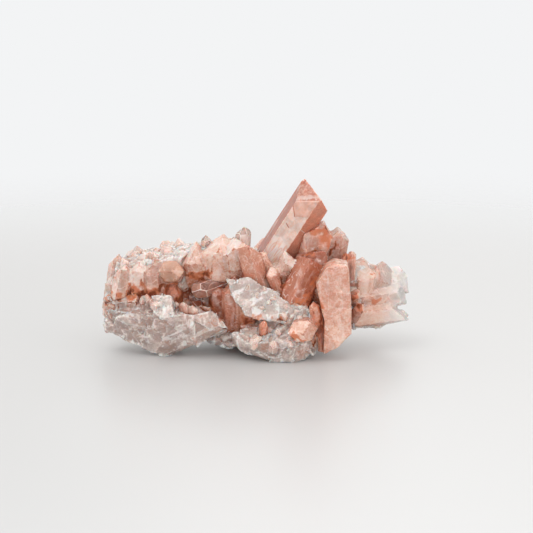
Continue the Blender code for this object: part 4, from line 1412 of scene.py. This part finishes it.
def main_finish():
    """The tall point, with its own marks."""
    f = Finish("tall_point_quartz")
    edge = f.channels("quartz")[1]
    end = f.channels("facet")[3]
    place, own = f.place(), f.own_place()
    across, back, up = f.split(own)

    def toward(azimuth):
        """How far a place lies from the axis in this direction."""
        turned = math.radians(azimuth)
        return across * math.cos(turned) + back * math.sin(turned)

    def on_face(azimuth):
        """1 on the side face that looks this way, where no neighbour reaches further out."""
        beside = toward(azimuth - 60).above(toward(azimuth + 60))
        return f.step(toward(azimuth) - beside, 0.0, 0.12) * (1 - end)

    grain = f.noise(place, 0.4 * MM, 2.0, 0.6)
    clouds = f.noise(place, 2.6 * MM, 2.0, 0.5, 0.6)
    mist = f.noise(place, 0.9 * MM, 2.0, 0.55, 0.3)
    drawn = f.stretched(own, (1.0, 1.0, 0.18))
    strands = f.noise(drawn, 0.9, 1.0, 0.5, 0.5)
    shards = f.lines(drawn, 1.5, 0.035)
    left, front, right = on_face(180), on_face(-120), on_face(-60)
    rear = f.step(back, 0.0, 1.0)
    side, right_side = toward(-30), toward(30)

    low = f.step(up + (clouds - 0.5) * 6.0, *PALE_FOOT, 1.0, 0.0)
    panel_edge = PANEL_FOOT + ((side + 0.6) * -1.25).above((side + 0.6) * 0.75)
    panel = f.step(up - panel_edge, -0.1, 0.15)
    groove = f.near(up - panel_edge, 0.1, 0.32) * f.step(side, -0.7, -0.4, 1.0, 0.0)
    dash = f.near(up - DASH_HEIGHT + (side + 0.9) * 0.45, 0.08, 0.25) * f.near(side + 0.9, 0.5, 0.8)
    crack = f.near(up - CRACK_HEIGHT + (right_side + 0.3) * 0.56, 0.05, 0.2)
    crack = crack * f.step(right_side, -0.3, 0.1, 1.0, 0.0)
    rim = f.near(up - RIM_HEIGHT - side * 0.86 + (mist - 0.5) * 2.0, 0.2, 0.6) * end

    pinker = f.step(clouds * 0.3 + strands * 0.2 + grain * 0.5, 0.36, 0.64, 0.1, 0.8)
    # the side faces' deep salmon is partly painted light through the thin crystal; left * 0.8 paints the
    # left face less pink, as shade
    pinker = pinker + right * 0.25 - left * 0.8
    face = f.layers(
        PALE_PINK,
        (f.step(strands * 0.4 + mist * 0.2 + grain * 0.4, 0.38, 0.6), MILK),
        (panel * 0.45, SALMON),
        (low * f.step(strands, 0.38, 0.55), CLEAR_WHITE),
        (low * shards * 0.6, SALMON),
        (groove.above(dash) * 0.9, DEEP_SALMON),
    )
    etched = f.blend(f.step(mist * 0.5 + grain * 0.5, 0.4, 0.66, 0.1, 0.75), DEEP_SALMON, PALE_PINK)
    colour = f.layers(
        DEEP_SALMON,
        (pinker.above(0.0), SALMON),
        # painted shade: the left face is browner
        (left * 0.45, BROWN_TINT_AND_SHADE),
        (rear * f.step(clouds * 0.6 + strands * 0.4, 0.42, 0.62) * 0.6, PALE_PINK),
        (front, face),
        (right * crack * 0.6, CLEAR_WHITE),
        (end, etched),
        (rim * 0.55, MILK),
        # pale edges: part wear, part painted highlight
        (edge * f.step(mist, 0.4, 0.6, 0.05, 0.5), CLEAR_WHITE),
    )
    normal = f.relief(
        (grain, 0.12, 0.08 * MM), (mist * end, 0.6, 0.4 * MM),
        (strands * front * low, 0.5, 0.5 * MM), (panel * front, 0.5, 0.25 * MM),
    )
    share = f.step(clouds, 0.3, 0.7, 0.1, 0.35) * (1 - 0.6 * edge) * (1 - low * front * 0.6)
    mixed = f.quartz(share, colour, normal, 0.12 + mist * 0.12, (0.85, 1.6 * MM), (0.5, 0.06))
    return f.surface(mixed, f.absorbing(INNER_TINT))


tall_point_quartz = main_finish()
print("nodes in the finish of the tall point:", len(tall_point_quartz.node_tree.nodes))

# %% [markdown]
# ## Placing the pieces
# Every piece replaces the plain solid, rides with its body and takes its own finish.

# %% Place the pieces
FINISHES = {
    "main_point": tall_point_quartz, "clear_points": clear_quartz, "crowd_points": crowd_quartz,
    "milky_rock": milky_quartz, "sugar_grains": sugar_quartz, "left_points": pale_quartz,
    "right_points": pale_quartz, "shoulder_points": pale_quartz,
}
SHARP = math.radians(24)  # edges that turn by more than this stay sharp
for name, mesh in skins.items():
    mesh.materials.clear()
    mesh.materials.append(FINISHES.get(name, pink_quartz))
    mesh.shade_smooth()
    mesh.set_sharp_from_angle(angle=SHARP)
    piece = stand(name, mesh)
    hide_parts("quartz_cluster")
    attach(piece, "root")
print("pieces:", list(skins))

# %% [markdown]
# ## The stage
# The specimen stands on a plain pale floor in soft studio light. The camera looks down on it by
# 11 degrees through a long lens, as in the photograph.

# %% Floor and lights
FLOOR_RADIUS = 0.6
FADE = (0.09, 0.36)  # metres from the middle at which the floor starts and ends to fade out
FLOOR_GREY, BACKDROP_WHITE = paint(204, 204, 204), paint(243, 244, 245)
SKY, SKY_STRENGTH = (1.0, 0.99, 0.975, 1.0), 0.93
MIDDLE = Vector((0, 0, 0.02))  # what the lights look at
SOFT_BOXES = (  # name, place, size and power
    ("key_box", (-0.25, -0.20, 0.60), 0.40, 0.75),
    ("fill_box", (0.40, -0.30, 0.45), 0.45, 0.25),
    ("front_box", (0.05, -0.65, 0.16), 0.35, 1.0),
    ("back_box", (0.1, 0.6, 0.45), 0.4, 0.9),
)


def pale_floor():
    """A round floor that fades out into the backdrop."""
    bm = bmesh.new()
    bmesh.ops.create_circle(bm, cap_ends=True, segments=96, radius=FLOOR_RADIUS)
    mesh = as_mesh(bm, "pale_floor")
    f = Finish("floor_white")
    cloth = f.shader({"Base Color": FLOOR_GREY, "Roughness": 0.38})
    clear = f.node("ShaderNodeBsdfTransparent", {}, {})
    fade = f.step(f.vectors("LENGTH", f.place(), output="Value"), *FADE)
    mesh.materials.append(f.surface(f.node("ShaderNodeMixShader", {}, {0: fade, 1: cloth, 2: clear})))
    return stand("pale_floor", mesh)


def soft_light(name, place, size, power):
    """A square soft box that looks at the specimen."""
    light = bpy.data.lights.new(name, "AREA")
    light.size = size
    light.energy = power
    holder = stand(name, light)
    holder.location = place
    holder.rotation_euler = (MIDDLE - Vector(place)).to_track_quat("-Z", "Y").to_euler()


floor = pale_floor()
for box in SOFT_BOXES:
    soft_light(*box)
print("lights:", [box[0] for box in SOFT_BOXES])

# %% The light around and the backdrop
world = bpy.data.worlds.new("studio")
bpy.context.scene.world = world
world.use_nodes = True
studio = world.node_tree.nodes
dome = studio["Background"]
dome.inputs["Color"].default_value = SKY
dome.inputs["Strength"].default_value = SKY_STRENGTH
backdrop = studio.new("ShaderNodeBackground")
backdrop.inputs["Color"].default_value = BACKDROP_WHITE
seen = studio.new("ShaderNodeLightPath")
either = studio.new("ShaderNodeMixShader")
sources = (seen.outputs["Is Camera Ray"], dome.outputs[0], backdrop.outputs[0])
for socket, source in zip(either.inputs, sources):
    world.node_tree.links.new(source, socket)
world.node_tree.links.new(either.outputs[0], studio["World Output"].inputs["Surface"])

# %% Camera
CAMERA_PLACE = (0.00273, -0.44014, 0.10743)
LOOKS_DOWN = math.radians(11)
FOCAL_LENGTH, SENSOR = 116.9, 36  # in millimetres
lens = bpy.data.cameras.new("view")
lens.lens = FOCAL_LENGTH
lens.sensor_width = SENSOR
lens.clip_start = 0.01
camera = stand("view", lens)
camera.location = CAMERA_PLACE
camera.rotation_euler = (math.pi / 2 - LOOKS_DOWN, 0, 0)
bpy.context.scene.camera = camera
bpy.context.scene.view_settings.view_transform = "Standard"
print("the camera stands at, m:", CAMERA_PLACE)

# %% [markdown]
# The visual model must stay inside the solid's box.

bpy.context.view_layer.update()
